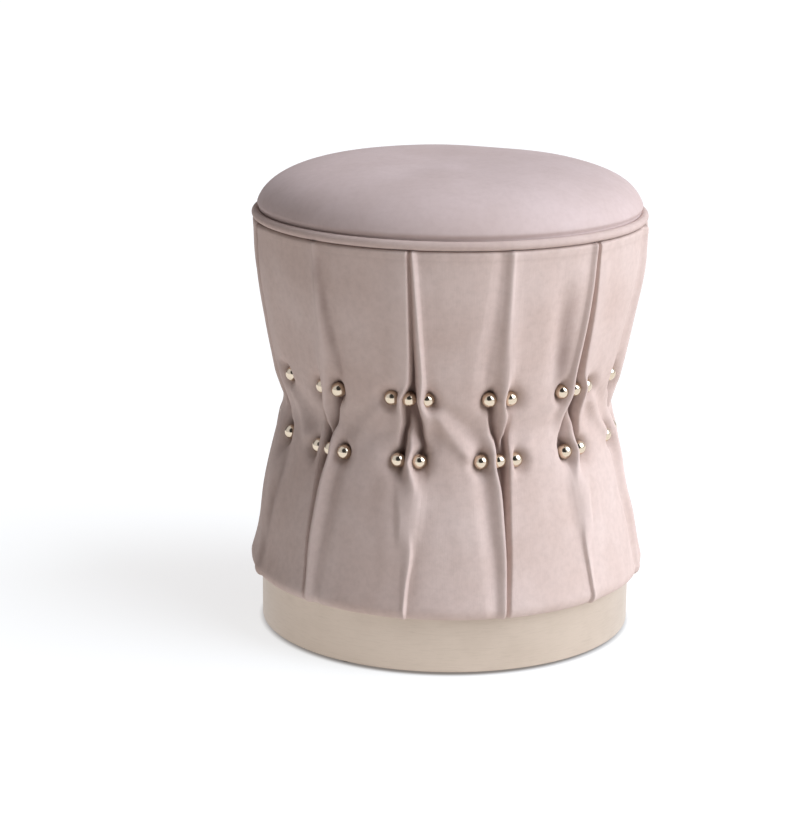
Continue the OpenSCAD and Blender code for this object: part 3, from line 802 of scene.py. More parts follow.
    def section_lines(self, pleat: int, heights: Array) -> tuple[Array, Array]:
        """Return where the lines of a pleat lie and how far they rise at each height.

        Args:
            pleat: The pleat's number.
            heights: The rows' heights.

        Returns:
            Places across and rises, with nine lines for each row.
        """
        drawn = self.drawn_heights(pleat, heights)
        sections = SECTIONS_ABOVE if self.fold(pleat) is Fold.DOUBLE_ABOVE else SECTIONS_BELOW
        keys = [s.height for s in sections]
        across = np.array([(-s.edge, *s.across, s.edge) for s in sections])
        rise = np.array([(0.0, *s.rise, 0.0) for s in sections])
        if pleat in self.mirrored:
            across, rise = -across[:, ::-1], rise[:, ::-1]
        far = ease(np.abs(drawn) / 150 - 0.3)[:, None]
        drift = self.wander[pleat, 1] * 1.6 * far * np.sin(drawn[:, None] / 45)
        strength = 1 + 0.12 * self.wander[pleat, 2] * far
        shift = self.lean(pleat, heights)[:, None]
        return ((blend_keys(keys, across, drawn) + drift) * MM + shift,
                blend_keys(keys, rise, drawn) * strength * MM)

    def dimples(self, pleat: int, across: Array, heights: Array, ridges: Array) -> Array:
        """Return how far the studs of a pleat draw its cloth in.

        Args:
            pleat: The pleat's number.
            across: Places across the pleat, by row.
            heights: The rows' heights.
            ridges: The left and right ridge's place in each row.

        Returns:
            The depth at each point.
        """
        depth = np.zeros_like(across)
        for row_z in (self.lower_row_z, self.upper_row_z):
            for number, place in self.studs(row_z):
                if number != pleat or place == 0.0:
                    continue
                away = np.hypot(across - place, heights[:, None] - row_z)
                bowl = np.exp(-(away / self.dimple_reach) ** self.dimple_power)
                inner, clear, share = 0.0, self.narrow_clear, self.narrow_share
                if abs(place) > (self.wide_spread + self.narrow_spread) / 2:
                    inner, clear, share = ridges[:, int(place > 0)][:, None], self.wide_clear, 1.0
                free = ease(((across - inner) * math.copysign(1.0, place) - clear) / (4 * MM))
                depth = np.maximum(depth, bowl * free * self.dimple_depth * share)
        return depth

    def tension(self, turn: Array, heights: Array) -> Array:
        """Return the soft folds drawn slantwise across each panel, from stud to stud."""
        rise = np.zeros_like(turn)
        for pleat in range(self.pleats):
            falls = self.fold(pleat) is Fold.DOUBLE_ABOVE
            rows = self.upper_row_z, self.lower_row_z
            from_z, to_z = rows if falls else rows[::-1]
            spread = self.wide_spread / self.lower_row_r
            start = self.turn(pleat) + spread
            wide = (FULL_TURN / self.pleats - 2 * spread) * self.lower_row_r
            x = turn_from(turn, start) * self.lower_row_r
            z = heights[:, None] - from_z
            length = math.hypot(wide, to_z - from_z)
            ahead, aside = wide / length, (to_z - from_z) / length
            share = (x * ahead + z * aside) / length
            off = z * ahead - x * aside
            fade = (ease((share + self.link_margin) / self.link_fade)
                    * ease((1 + self.link_margin - share) / self.link_fade))
            width = self.link_width + self.link_swell * np.sin(math.pi * np.clip(share, 0, 1))
            strength = self.drawn_rise * (1 + 0.25 * self.wander[pleat, 5])
            if falls:
                off = off + self.link_sag
            else:
                strength *= self.faint_link
            trough = np.exp(-(off / width - self.link_trough) ** 2)
            rise += strength * fade * (np.exp(-(off / width) ** 2) - 0.4 * trough)
        return rise

    def unevenness(self, turn: Array, heights: Array) -> Array:
        """Return the cloth's own slight unevenness, smooth and the same each run."""
        rise = ripples(self.seed + 1, self.uneven_waves, (5, 70), (8, 90), turn, heights[:, None], 0.5)
        return rise * self.uneven_rise

    def slack(self, turn: Array, heights: Array) -> tuple[Array, Array]:
        """Return how far the cloth falls in where it hangs slack, and how much painted shade it gets
        there.
        """
        depth, shade = np.zeros_like(turn), np.zeros_like(turn)
        for spot_turn, spot_z, wide, tall, deep, dark in self.slack_spots:
            aside = turn_from(turn, math.radians(spot_turn)) / math.radians(wide)
            above = (heights[:, None] - spot_z * MM) / (tall * MM)
            spot = np.exp(-aside**2 - above**2)
            depth += deep * MM * spot
            shade += dark * spot
        return depth, shade

    def seam_step(self, heights: Array) -> Array:
        """Return the slight step where the cloth passes over the seam's turnings."""
        lip, dip, drawn_in = 0.3 * MM, 0.15 * MM, 2.4 * MM
        below_top = self.top_z - heights
        over = 1 - ease((below_top - self.seam_drop) / (1.2 * MM))
        groove = np.exp(-((below_top - self.seam_drop - 0.8 * MM) / (0.9 * MM)) ** 2)
        tuck = ease(1 - below_top / (2.6 * MM))
        return over * lip - groove * dip - tuck * drawn_in

    def least_radius(self, heights: Array) -> Array:
        """Return the radius that the cloth can't go inside of, at the hoops and between them."""
        off_hoop = np.minimum(np.abs(heights - self.lower_row_z), np.abs(heights - self.upper_row_z))
        free = ease((off_hoop - self.hoop_half) / (4 * MM))
        return self.hoop_clear_r + (self.waist_clear_r - self.hoop_clear_r) * free

    def shape_face(self) -> None:
        """Work out radius and turn of every point of the outer face, and its painted crease shade and
        painted crest highlight.
        """
        heights = self.rows()
        base = self.face_radius(heights)[:, None]
        turns, rises, dents = [], [], []
        for pleat in range(self.pleats):
            lines, line_rises = self.section_lines(pleat, heights)
            across, rise = curve_across(lines, line_rises, self.steps)
            turns.append(self.turn(pleat) + across / base)
            rises.append(rise)
            dents.append(self.dimples(pleat, across, heights, lines[:, [2, 6]]))
        shares = np.arange(1, self.panel_steps)[None, :] / self.panel_steps
        flat = np.zeros((len(heights), self.panel_steps - 1))
        columns = []
        for pleat, turn in enumerate(turns):
            after = (pleat + 1) % self.pleats
            lap = FULL_TURN if after == 0 else 0.0
            start, end = turn[:, -1:], turns[after][:, :1] + lap
            columns.append((turn, start + (end - start) * shares, rises[pleat], flat, dents[pleat], flat))
        turn, fold, dent = (np.hstack([part for column in columns for part in column[i:i + 2]])
                            for i in (0, 2, 4))
        fallen, shade = self.slack(turn, heights)
        rise = fold - dent + self.tension(turn, heights) + self.unevenness(turn, heights)
        rise = rise + self.seam_step(heights)[:, None] - fallen
        # Painted shade: darker in deep fold valleys, round the dimples, in the slack hollows and under
        # the piping.
        fold_shade = (self.valley_shade * ease((-fold - 3 * MM) / (7 * MM))
                  + self.dimple_shade * dent / self.dimple_depth)
        self.crease = np.maximum(fold_shade + shade, self.seam_shade(heights)[:, None])
        # Painted highlight on the raised fold crests.
        self.crest = ease(fold / (4 * MM))
        self.radius = np.maximum(base + rise, self.least_radius(heights)[:, None])
        self.turns = turn
        self.heights = heights

    def seam_shade(self, heights: Array) -> Array:
        """Return the painted shade where the cloth tucks in under the piping, and a faint darker line
        along the seam below it.
        """
        below_top = self.top_z - heights
        seam_line = np.exp(-((below_top - self.seam_drop - 0.8 * MM) / (0.8 * MM)) ** 2)
        return np.maximum(0.6 * ease(1 - below_top / (2.2 * MM)), 0.08 * seam_line)

    def inner_wall(self, height: float) -> tuple[Array, Array]:
        """Return radius and turn of the cover's inner wall at a height.

        Args:
            height: Where the wall is read.

        Returns:
            Radius and turn of each point, behind the folds where they go deep.
        """
        row = int(np.argmin(np.abs(self.heights - height)))
        places = [self.hem_z, self.hem_z + 20 * MM, self.lower_row_z, self.upper_row_z, self.top_z]
        first = self.face_radius(np.array([places[0], places[1], self.top_z])) - self.lining
        wall = np.interp(height, places, [first[0], first[1], self.wall_r, self.wall_r, first[2]])
        return np.minimum(wall, self.radius[row] - self.cloth), self.turns[row]

    def build(self) -> Piece:
        """Return the cover as one closed cloth body."""
        self.shape_face()
        around = self.turns.shape[1]
        rings = [on_circle(self.radius[i], self.turns[i], z) for i, z in enumerate(self.heights)]
        crease_shades, crest_highlights = list(self.crease), list(self.crest)
        rings.append(on_circle(self.radius[-1] - self.cloth, self.turns[-1], self.top_z))
        reach = self.lower_row_z - self.hem_z
        inner_heights = np.concatenate([
            np.linspace(self.top_z - 2 * MM, self.upper_row_z + 20 * MM, 5),
            np.linspace(self.upper_row_z + 10 * MM, self.lower_row_z - 10 * MM, 18),
            np.linspace(self.lower_row_z - 20 * MM, self.hem_z + reach * 0.15, 5)])
        rings += [on_circle(*self.inner_wall(height), height) for height in inner_heights]
        first_r, first_t = self.radius[0], self.turns[0]
        inner_r = first_r.mean() - self.lining - self.hem_roll / 2
        above_hem = self.hem_z + self.cloth
        turned_in = ((inner_r, above_hem + self.cloth), (inner_r - self.cloth, above_hem),
                     (self.hem_edge_r, above_hem), (self.hem_edge_r, self.hem_z),
                     (self.band_clear_r, self.hem_z))
        rings += [on_circle(ring_r, first_t, ring_z) for ring_r, ring_z in turned_in]
        blank = [np.zeros(around)] * (len(rings) - len(crease_shades))
        crease_shades += blank
        crest_highlights += blank
        for k in range(self.roll_steps):
            bend = math.pi / 2 * k / self.roll_steps
            ring_r = first_r - self.hem_roll * (1 - math.sin(bend))
            ring_z = (self.hem_roll + self.hem_drop) * (1 - math.cos(bend)) - self.hem_drop
            rings.append(on_circle(ring_r, first_t, self.hem_z + ring_z))
            # The hem's roll takes the lowest row's painted shade and half its painted highlight.
            crease_shades.append(self.crease[0])
            crest_highlights.append(self.crest[0] * 0.5)
        piece = ring_body("pleated_side", rings, VELVET_SIDE)
        self.add_maps(piece, np.concatenate(crease_shades), np.concatenate(crest_highlights))
        dressed(piece, BODY, "cover_cloth", "side_cover")
        return piece

    def add_maps(self, piece: Piece, crease: Array, crest: Array) -> None:
        """Store the painted crease shade, the painted crest highlight and a flat map of the cloth on the
        piece.
        """
        mesh = piece.data
        for name, values in (("crease", crease), ("crest", crest)):
            attribute = mesh.attributes.new(name, "FLOAT", "POINT")
            attribute.data.foreach_set("value", values.astype(np.float32))
        points = read_rows(mesh.vertices, "co", 3, np.float32)
        corners = read_rows(mesh.loops, "vertex_index", 1, np.int32)[:, 0]
        turn = np.arctan2(points[:, 0], -points[:, 1])[corners].reshape(-1, 4)
        turn = np.where(turn - turn[:, :1] > math.pi, turn - FULL_TURN, turn)
        turn = np.where(turn - turn[:, :1] < -math.pi, turn + FULL_TURN, turn)
        flat = np.stack([turn.ravel() * self.lower_row_r, points[corners, 2]], 1)
        uv = mesh.uv_layers.new(name="cloth")
        uv.data.foreach_set("uv", flat.astype(np.float32).ravel())


@dataclass
class SideFoam:
    """One ring of the side's foam, pressed in behind the folds of the cover.

    Its foot, its head and its inner points, as radius and height, are in millimetres.
    """

    name: str
    node: str
    side: PleatedSide
    foot: float
    head: float
    inner: Places
    levels: int
    gap: float = 0.5 * MM
    thin_by: int = 3

    def build(self) -> Piece:
        """Return the ring of foam."""
        rings = []
        for height in np.linspace(self.foot, self.head, self.levels) * MM:
            radius, turn = self.side.inner_wall(height)
            rings.append(on_circle(radius[::self.thin_by] - self.gap, turn[::self.thin_by], height))
        rings += [on_circle(r * MM, turn[::self.thin_by], z * MM) for r, z in self.inner]
        piece = ring_body(self.name, rings, FOAM)
        dressed(piece, BODY, "foam", self.node)
        return piece


# Part of the side, foot, head and inner points in millimetres, and levels.
FOAM_RINGS: tuple[tuple[str, float, float, Places, int], ...] = (
    ("lower_side", 64.6, 203.6, ((153.2, 203.6), (180.7, 82.6), (190.9, 82.6), (190.9, 64.6)), 16),
    ("waist", 216.5, 265.5, ((150.4, 265.5), (150.4, 216.5)), 12),
    ("upper_side", 278.5, 410.4, ((170.4, 410.4), (170.4, 392.6), (173.2, 392.6), (153.2, 278.5)), 16))


# The seat

@dataclass
class CrownedSeat:
    """The seat's crowned cover, drawn down over the piping, with the filling under it."""

    radius: float = 196 * MM
    piping_z: float = 427 * MM
    rise: float = 53.5 * MM
    edge_z: float = 431.8 * MM
    shoulder_power: float = 0.95
    cloth: float = 1.5 * MM
    wadding_depth: float = 1.8 * MM
    foam_depth: float = 10.1 * MM
    shelf_z: float = 410.6 * MM
    piping_r: float = 195.5 * MM
    piping_d: float = 9 * MM
    rings: int = 72
    around: int = 240
    tuck: float = 3.2 * MM
    tuck_rise: float = 6 * MM
    waves: int = 18
    seed: int = 11

    def outline(self, depth: float, rings: int, foot_z: float) -> Array:
        """Return the crown's outline at a depth under its face, from the pole out.

        Args:
            depth: Depth under the face.
            rings: Number of points.
            foot_z: Height at which it ends.

        Returns:
            Radii and heights, drawn in over the piping at the foot.
        """
        edge = (foot_z - self.piping_z) / (self.rise - depth)
        last = math.acos(edge ** (1 / self.shoulder_power))
        t = last * np.linspace(0, 1, rings)
        radius = (self.radius - depth) * np.sqrt(np.sin(t))
        height = self.piping_z + (self.rise - depth) * np.cos(t) ** self.shoulder_power
        radius -= self.tuck * (1 - ease((height - self.edge_z) / self.tuck_rise))
        return np.stack([radius, height], 1)

    def uneven(self, profile: Array, amount: float) -> Array:
        """Return slight hollows and swells for each point of each ring of a profile."""
        turn = full_circle(self.around)
        lift = ripples(self.seed, self.waves, (1, 9), (8, 40), turn, profile[:, :1])
        middle = np.clip(profile[:, :1] / self.radius, 0, 1)
        return lift * amount * ease(middle * 2) * ease((1 - middle) * 12)

    def turned_in(self) -> Array:
        """Return the cover's edge, turned in round the piping's inner quarter."""
        reach = self.piping_d / 2 + 0.35 * MM
        bends = np.radians([32, 48, 64])
        return np.stack([self.piping_r - reach * np.sin(bends), self.piping_z + reach * np.cos(bends)], 1)

    def layer(self, name: str, node: str, slot: str, profile: Sequence[Array],
              finish: Finish, amount: float) -> Piece:
        """Turn one layer of the seat.

        Args:
            name: The piece's name.
            node: The CAD node that it stands for.
            slot: Its material slot; not used.
            profile: Parts of its profile, joined end to end.
            finish: Its finish.
            amount: How uneven it is.

        Returns:
            The dressed piece.
        """
        joined = np.concatenate(profile)
        piece = turned_body(name, joined, self.around, finish, self.uneven(joined[1:-1], amount))
        return dressed(piece, BODY, slot, node)

    def build(self) -> None:
        """Build the cover, the fibre layer and the foam."""
        edge, half = self.edge_z, self.rings // 2
        tucked = self.turned_in()
        cover = self.layer("seat_crown", "seat_cover", "cover_cloth", [
            self.outline(0.0, self.rings, edge + 0.2 * MM), tucked,
            [tucked[-1] + (-0.6 * MM, 0.9 * MM)],
            self.outline(self.cloth, self.rings, edge + 1.6 * MM)[::-1]], VELVET_SEAT, 0.16 * MM)
        wadding = self.layer("seat_fibre_layer", "seat_wadding", "wadding", [
            self.outline(self.wadding_depth, half, edge + 2 * MM),
            self.outline(self.foam_depth - 0.3 * MM, half, edge + 2 * MM)[::-1]], WADDING, 0.1 * MM)
        crown = self.outline(self.foam_depth, half, edge + 0.5 * MM)
        wall = crown[-1, 0] - 1.0 * MM
        foam = self.layer("seat_foam_block", "seat_foam", "foam", [
            crown, [(wall, edge - 4 * MM), (wall, self.shelf_z + 2 * MM),
                    (wall - 2 * MM, self.shelf_z), (0.0, self.shelf_z)]], FOAM, 0.0)


@dataclass
class DustSheet:
    """The black cloth stapled under the bottom board, slightly puckered between its staples."""

    radius: float = 177.2 * MM
    top_z: float = 64.4 * MM
    thickness: float = 0.7 * MM
    staples: int = 36
    pucker: float = 0.12 * MM
    rings: int = 24
    around: int = 216

    def build(self) -> Piece:
        """Return the sheet."""
        out = np.linspace(0, 1, self.rings)
        upper = np.stack([out * self.radius, np.full(self.rings, self.top_z)], 1)
        lower = upper[::-1] - np.array([0.0, self.thickness])
        profile = np.concatenate([upper, lower])
        turn = full_circle(self.around)
        share = profile[1:-1, :1] / self.radius
        pucker = np.cos(turn * self.staples) * self.pucker * share**6
        sheet = turned_body("black_dust_sheet", profile, self.around, DUST_CLOTH, pucker)
        dressed(sheet, BODY, "dust_cloth", "dust_cover")
        cut_r = self.radius + 0.6 * MM
        return (sheet, 2 * cut_r, 2 * cut_r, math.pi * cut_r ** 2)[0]


# Geometry node pieces

class NodeRecipe:
    """A Geometry Nodes tree built by script, run once on a piece and turned into its mesh."""

    def __init__(self, name: str) -> None:
        """Start a tree with a mesh in and a mesh out."""
        self.tree = bpy.data.node_groups.new(name, "GeometryNodeTree")
        for way in ("INPUT", "OUTPUT"):
            self.tree.interface.new_socket("Geometry", in_out=way, socket_type="NodeSocketGeometry")
        self.start = self.tree.nodes.new("NodeGroupInput")
        self.end = self.tree.nodes.new("NodeGroupOutput")
        self.sizes: dict[str, Any] = {}

    def size(self, name: str, value: Any, kind: str = "NodeSocketFloat") -> bpy.types.NodeSocket:
        """Add a named input and return its socket."""
        item = self.tree.interface.new_socket(name, in_out="INPUT", socket_type=kind)
        self.sizes[item.identifier] = value
        return self.start.outputs[name]

    def add(self, kind: str, settings: Optional[Settings] = None,
            inputs: Optional[Settings] = None) -> bpy.types.Node:
        """Add a node with its settings, values and links."""
        node = self.tree.nodes.new(kind)
        set_node(node, self.tree.links, settings, inputs)
        return node

    def run(self, piece: Piece, result: bpy.types.Node) -> None:
        """Finish the tree, run it on a piece and keep only the mesh that comes out.

        Args:
            piece: The object that carries the tree's points or mesh, and the finish.
            result: The node whose geometry is kept.
        """
        real = self.add("GeometryNodeRealizeInstances", inputs={"Geometry": result})
        paint = self.add("GeometryNodeSetMaterial", inputs={
            "Geometry": real, "Material": piece.data.materials[0]})
        self.tree.links.new(paint.outputs[0], self.end.inputs[0])
        modifier = piece.modifiers.new(self.tree.name, "NODES")
        modifier.node_group = self.tree
        for identifier, value in self.sizes.items():
            modifier[identifier] = value
        graph = bpy.context.evaluated_depsgraph_get()
        mesh = bpy.data.meshes.new_from_object(piece.evaluated_get(graph))
        piece.modifiers.clear()
        old = piece.data
        piece.data = mesh
        mesh.name = piece.name
        bpy.data.meshes.remove(old)
        mesh.shade_smooth()


@dataclass
class StudRow:
    """One row of ball studs, each on its pin, set into the folds."""

    name: str
    node: str
    side: PleatedSide
    row_z: float
    circle_r: float
    row_r: float
    ball: float = 15 * MM
    pin: float = 2.5 * MM
    hoop_r: float = 158 * MM
    pin_grip: float = 10 * MM
    ball_steps: int = 40

    def build(self) -> Piece:
        """Return the row of studs as one mesh."""
        points, outwards = [], []
        for pleat, across in self.side.studs(self.row_z):
            turn = self.side.turn(pleat) + across / self.row_r
            points.append(on_circle(self.circle_r, turn, self.row_z))
            outwards.append((math.sin(turn), -math.cos(turn), 0.0))
        piece = mesh_piece(self.name, np.array(points), [], STUD_GOLD.material())
        facing = piece.data.attributes.new("outwards", "FLOAT_VECTOR", "POINT")
        facing.data.foreach_set("vector", np.array(outwards, np.float32).ravel())
        recipe = NodeRecipe("stud_row")
        ball = recipe.size("Ball Radius", self.ball / 2)
        pin = recipe.size("Pin Radius", self.pin / 2)
        length = recipe.size("Pin Length", self.circle_r - self.hoop_r + self.pin_grip)
        steps = recipe.size("Steps", self.ball_steps, "NodeSocketInt")
        sphere = recipe.add("GeometryNodeMeshUVSphere", inputs={
            "Radius": ball, "Segments": steps, "Rings": self.ball_steps // 2})
        shaft = recipe.add("GeometryNodeMeshCylinder", inputs={
            "Radius": pin, "Depth": length, "Vertices": 16})
        back = recipe.add("ShaderNodeMath", {"operation": "MULTIPLY"}, {0: length, 1: -0.5})
        offset = recipe.add("ShaderNodeCombineXYZ", inputs={"Z": back})
        moved = recipe.add("GeometryNodeTransform", inputs={"Geometry": shaft, "Translation": offset})
        joined = recipe.add("GeometryNodeJoinGeometry")
        for part in (sphere, moved):
            recipe.tree.links.new(part.outputs[0], joined.inputs[0])
        facing = recipe.add("GeometryNodeInputNamedAttribute", {"data_type": "FLOAT_VECTOR"},
                            {"Name": "outwards"})
        turned = recipe.add("FunctionNodeAlignEulerToVector", {"axis": "Z"}, {"Vector": facing})
        copies = recipe.add("GeometryNodeInstanceOnPoints", inputs={
            "Points": recipe.start, "Instance": joined, "Rotation": turned})
        recipe.run(piece, copies)
        return dressed(piece, BODY, "gold_studs", self.node)


@dataclass
class SweptRing:
    """A ring swept round the axis from a profile, such as piping or a metal band."""

    name: str
    node: str
    slot: str
    finish: Finish
    profile: Places
    radius: float
    height: float
    around: int = 256

    def build(self) -> Piece:
        """Return the swept ring."""
        piece = mesh_piece(self.name, np.zeros((1, 3)), [], self.finish.material())
        outline = bpy.data.curves.new(self.name + "_profile", "CURVE")
        line = outline.splines.new("POLY")
        line.points.add(len(self.profile) - 1)
        for point, (x, z) in zip(line.points, self.profile):
            point.co = (x, -z, 0, 1)
        line.use_cyclic_u = True
        holder = bpy.data.objects.new(self.name + "_profile", outline)
        recipe = NodeRecipe(self.name)
        radius = recipe.size("Radius", self.radius)
        height = recipe.size("Height", self.height)
        count = recipe.size("Steps", self.around, "NodeSocketInt")
        circle = recipe.add("GeometryNodeCurvePrimitiveCircle", inputs={
            "Radius": radius, "Resolution": count})
        lift = recipe.add("ShaderNodeCombineXYZ", inputs={"Z": height})
        raised = recipe.add("GeometryNodeTransform", inputs={"Geometry": circle, "Translation": lift})
        shape = recipe.add("GeometryNodeObjectInfo", inputs={"Object": holder})
        swept = recipe.add("GeometryNodeCurveToMesh", inputs={
            "Curve": raised, "Profile Curve": shape.outputs["Geometry"]})
        recipe.run(piece, swept)
        bpy.data.objects.remove(holder)
        point_outwards(piece)
        return dressed(piece, BODY, self.slot, self.node)


def round_profile(diameter: float, steps: int = 24) -> Places:
    """Return a round profile as points."""
    turns = [FULL_TURN * k / steps for k in range(steps)]
    return tuple((diameter / 2 * math.cos(t), diameter / 2 * math.sin(t)) for t in turns)


def band_profile(height: float, thickness: float, lip: float, steps: int = 4) -> Places:
    """Return a metal band's profile, with its rims rolled inwards."""
    bends = [math.pi / 2 * k / steps for k in range(steps + 1)]
    top = [(-lip * (1 - math.cos(b)), height - lip + lip * math.sin(b)) for b in bends[1:]]
    foot = [(-lip * (1 - math.sin(b)), lip - lip * math.cos(b)) for b in bends[:-1]]
    back, corner = -thickness - 0.3 * MM, -lip - thickness
    inner = [(corner, height), (corner, height - thickness), (back, height - lip),
             (-thickness, height - 2 * lip), (-thickness, 2 * lip), (back, lip),
             (corner, thickness), (corner, 0.0)]
    return ((0.0, lip), (0.0, height - lip), *top, *inner, *foot)


# Glides

@dataclass
class GlidePad:
    """The moulded pad of one levelling glide."""

    number: int
    turn: float
    circle_r: float = 172.5 * MM
    radius: float = 12.5 * MM
    height: float = 5.7 * MM
    bore: float = 4.05 * MM
    bore_z: float = 2.7 * MM
    around: int = 48

    def build(self) -> Piece:
        """Return the pad, riding on its own body."""
        edge, radius, height, bore = 0.8 * MM, self.radius, self.height, self.bore
        profile = [(0.0, 0.25 * MM), (radius - 3 * edge, 0.25 * MM), (radius - 2 * edge, 0.0),
                   (radius - edge, 0.2 * MM), (radius - 0.2 * edge, edge), (radius, 2 * edge),
                   (radius, height - edge), (radius - 0.3 * edge, height - 0.3 * edge),
                   (radius - edge, height), (bore + 2 * edge, height),
                   (bore + edge, height - 0.4 * edge), (bore, height - edge),
                   (bore, self.bore_z), (0.0, self.bore_z)]
        piece = turned_body(f"levelling_pad_{self.number}", np.array(profile), self.around,
                            BLACK_PLASTIC, centre=on_circle(self.circle_r, self.turn, 0.0))
        return dressed(piece, f"glide_{self.number}", "black_glide", f"glide_pad_{self.number}")


# Nodes kept from the frame

KEPT_FINISHES: tuple[tuple[Finish, tuple[str, ...]], ...] = (
    (ZINC, ("glide_stem", "plinth_bolts", "tee_nuts", "hem_staples")),
    (BRASS, ("glide_inserts",)),
    (YELLOW_STEEL, ("frame_screws",)),
    (CARD, ("lower_card", "upper_card")),
    (BIRCH, ("plinth_base_board", "plinth_blocks", "plinth_ring", "bottom_board", "frame_rib",
             "lower_hoop", "upper_hoop", "top_board")))


def dress_kept_nodes() -> None:
    """Give each node that is kept from the frame its own finish."""
    kept = 0
    for name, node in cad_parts.items():
        for finish, starts in KEPT_FINISHES:
            if name.startswith(starts):
                kept += 1
                for slot in node.material_slots:
                    slot.material = finish.material()
    log.info("finishes on %d kept nodes", kept)


# The studio

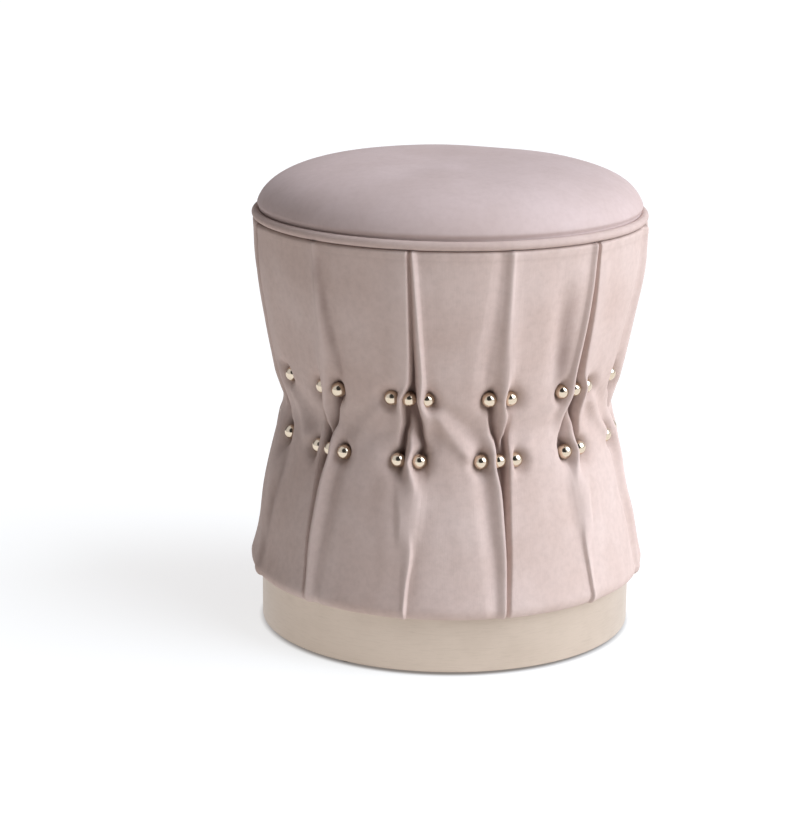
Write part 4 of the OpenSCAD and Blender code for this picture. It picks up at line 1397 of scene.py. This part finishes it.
@dataclass
class Studio:
    """A pale floor, soft lights and the camera at the photograph's angle."""

    floor_half: float = 30.0
    distance: float = 2.445
    camera_height: float = 0.846
    pitch: float = 0.2511
    roll: float = 0.0091
    focal_px: float = 2446.9
    image_px: float = 820.0
    axis_px: float = 51.58
    sensor: float = 36.0
    key_from: Triple = (1.4, -0.5, 1.17)
    key_strength: float = 3.6
    key_spread: float = math.radians(52)
    key_colour: Colour = (0.9, 0.99, 1.1)
    # Painted shadows in the floor's glow: a faint soft spot at the left-back and a dark ring under the
    # plinth.
    shaded_spot: Triple = (-0.2, 0.12, 0.0)
    contact_ring: tuple[float, float] = (0.184, 0.196)
    floor_glow: float = 0.79
    # Patches of the surround: direction, and the dot product with it at the rim and the core.
    side_panel: Patch = ((1.0, -0.1, 0.35), 0.1, 0.9)
    top_panel: Patch = ((0.0, 0.0, 1.0), 0.3, 1.0)
    dark_mirror: Patch = ((-0.45, 0.9, 0.0), 0.5, 0.95)
    photographer: Patch = ((0.0, -0.83, 0.56), 0.76, 0.83)

    def build(self) -> None:
        """Set up the whole studio."""
        bpy.context.scene.view_settings.view_transform = "Standard"
        self.add_floor()
        self.add_world()
        self.add_key()
        self.add_camera()

    def add_floor(self) -> None:
        """Add the pale floor, which glows evenly, with a painted shadow in a dark ring under the plinth
        and a faint painted shadow in a spot at the left-back.
        """
        tree = ShaderTree.of_material("pale_floor")
        cloud = tree.noise(tree.place(), 3.0)
        colour = tree.mix(cloud * 0.3, (0.25, 0.25, 0.25), (0.27, 0.27, 0.27))
        # Painted shadow: the glow is fainter in a soft spot at the left-back.
        spot = tree.step("DISTANCE", tree.place(), self.shaded_spot, 0.04, 0.3)
        beside = tree.mix(spot, (0.95, 0.94, 0.94), (1.0, 1.0, 1.0))
        # Painted contact shadow: the glow is dark in a ring under the plinth.
        ring = tree.step("DISTANCE", tree.place(), (0.0, 0.0, 0.0), *self.contact_ring)
        glow = tree.mix(ring, (0.25, 0.23, 0.22), beside)
        material = tree.finish(Base_Color=colour, Roughness=0.9, Specular_IOR_Level=0.0,
                               Emission_Color=glow, Emission_Strength=self.floor_glow)
        half = self.floor_half
        corners = np.array([(-half, -half, 0), (half, -half, 0), (half, half, 0), (-half, half, 0)])
        floor = mesh_piece("floor", corners, [(0, 1, 2, 3)], material)

    def add_world(self) -> None:
        """Add a pale surround, brighter on the right, with darker patches for reflections."""
        world = bpy.data.worlds.new("studio_surround")
        bpy.context.scene.world = world
        tree = ShaderTree(world)
        way = tree.add("ShaderNodeTexCoord", output="Generated")

        def lobe(toward: Triple, start: float, end: float) -> Socket:
            """Return a soft patch round a direction, 0 outside it and 1 inside."""
            return tree.step("DOT_PRODUCT", way, Vector(toward).normalized(), start, end)

        light = 0.12 + lobe(*self.side_panel) * 0.7 + lobe(*self.top_panel) * 0.3
        mirrored = 0.72 - lobe(*self.dark_mirror) * 0.65
        light = light + (mirrored - light) * tree.add("ShaderNodeLightPath", output="Is Glossy Ray")
        light = light * (1.0 - lobe(*self.photographer) * 0.94)
        seen = tree.add("ShaderNodeLightPath", output="Is Camera Ray")
        strength = light + (1.0 - light) * seen
        colour = tree.mix(seen, (0.95, 0.97, 1.03), (1.0, 1.0, 1.0))
        back = tree.add("ShaderNodeBackground", inputs={"Color": colour, "Strength": strength})
        tree.add("ShaderNodeOutputWorld", inputs={"Surface": back})

    def add_key(self) -> None:
        """Add the soft key light, from the right, in front and above."""
        light = bpy.data.lights.new("key_light", "SUN")
        light.energy = self.key_strength
        light.angle = self.key_spread
        light.color = self.key_colour
        lamp = bpy.data.objects.new("key_light", light)
        lamp.location = self.key_from
        lamp.rotation_euler = (-Vector(self.key_from)).to_track_quat("-Z", "Y").to_euler()
        bpy.context.scene.collection.objects.link(lamp)

    def add_camera(self) -> None:
        """Add the camera, turned so that the ottoman stands right of the middle."""
        data = bpy.data.cameras.new("camera")
        data.sensor_width = self.sensor
        data.lens = self.focal_px / self.image_px * self.sensor
        data.clip_start, data.clip_end = 0.1, 100.0
        camera = bpy.data.objects.new("camera", data)
        bpy.context.scene.collection.objects.link(camera)
        yaw = math.atan2(self.axis_px, self.focal_px)
        turn = (Matrix.Rotation(yaw, 4, "Z") @ Matrix.Rotation(math.pi / 2 - self.pitch, 4, "X")
                @ Matrix.Rotation(self.roll, 4, "Z"))
        camera.matrix_world = Matrix.Translation((0, -self.distance, self.camera_height)) @ turn
        bpy.context.scene.camera = camera


def main() -> None:
    """Build every piece in order."""
    Studio().build()
    side = PleatedSide()
    side.build()
    for part, foot, head, inner, levels in FOAM_RINGS:
        SideFoam(f"{part}_padding", f"{part}_foam", side, foot, head, inner, levels).build()
    seat = CrownedSeat()
    seat.build()
    for row, row_z, circle_r, row_r in (
            ("lower", side.lower_row_z, 167.43 * MM, side.lower_row_r),
            ("upper", side.upper_row_z, 168.38 * MM, side.upper_row_r)):
        StudRow(f"{row}_ball_studs", f"{row}_studs", side, row_z, circle_r, row_r).build()
    for name, node, slot, finish, profile in (
            ("seat_piping", "piping", "cover_cloth", VELVET_PIPING, round_profile(seat.piping_d)),
            ("cotton_piping_cord", "piping_cord", "cotton_cord", COTTON, round_profile(5.8 * MM, 16))):
        SweptRing(name, node, slot, finish, profile, seat.piping_r, seat.piping_z).build()
    SweptRing("metal_plinth_band", "plinth_band", "champagne_metal", PLINTH_METAL,
              band_profile(60 * MM, 1.2 * MM, 1.6 * MM), 190.5 * MM, 3 * MM).build()
    DustSheet().build()
    for number, degrees in enumerate((-32, 58, 148, 238), 1):
        GlidePad(number, math.radians(degrees)).build()
    dress_kept_nodes()


if __name__ == "__main__":
    logging.basicConfig(level=logging.INFO, format="%(message)s")
    main()
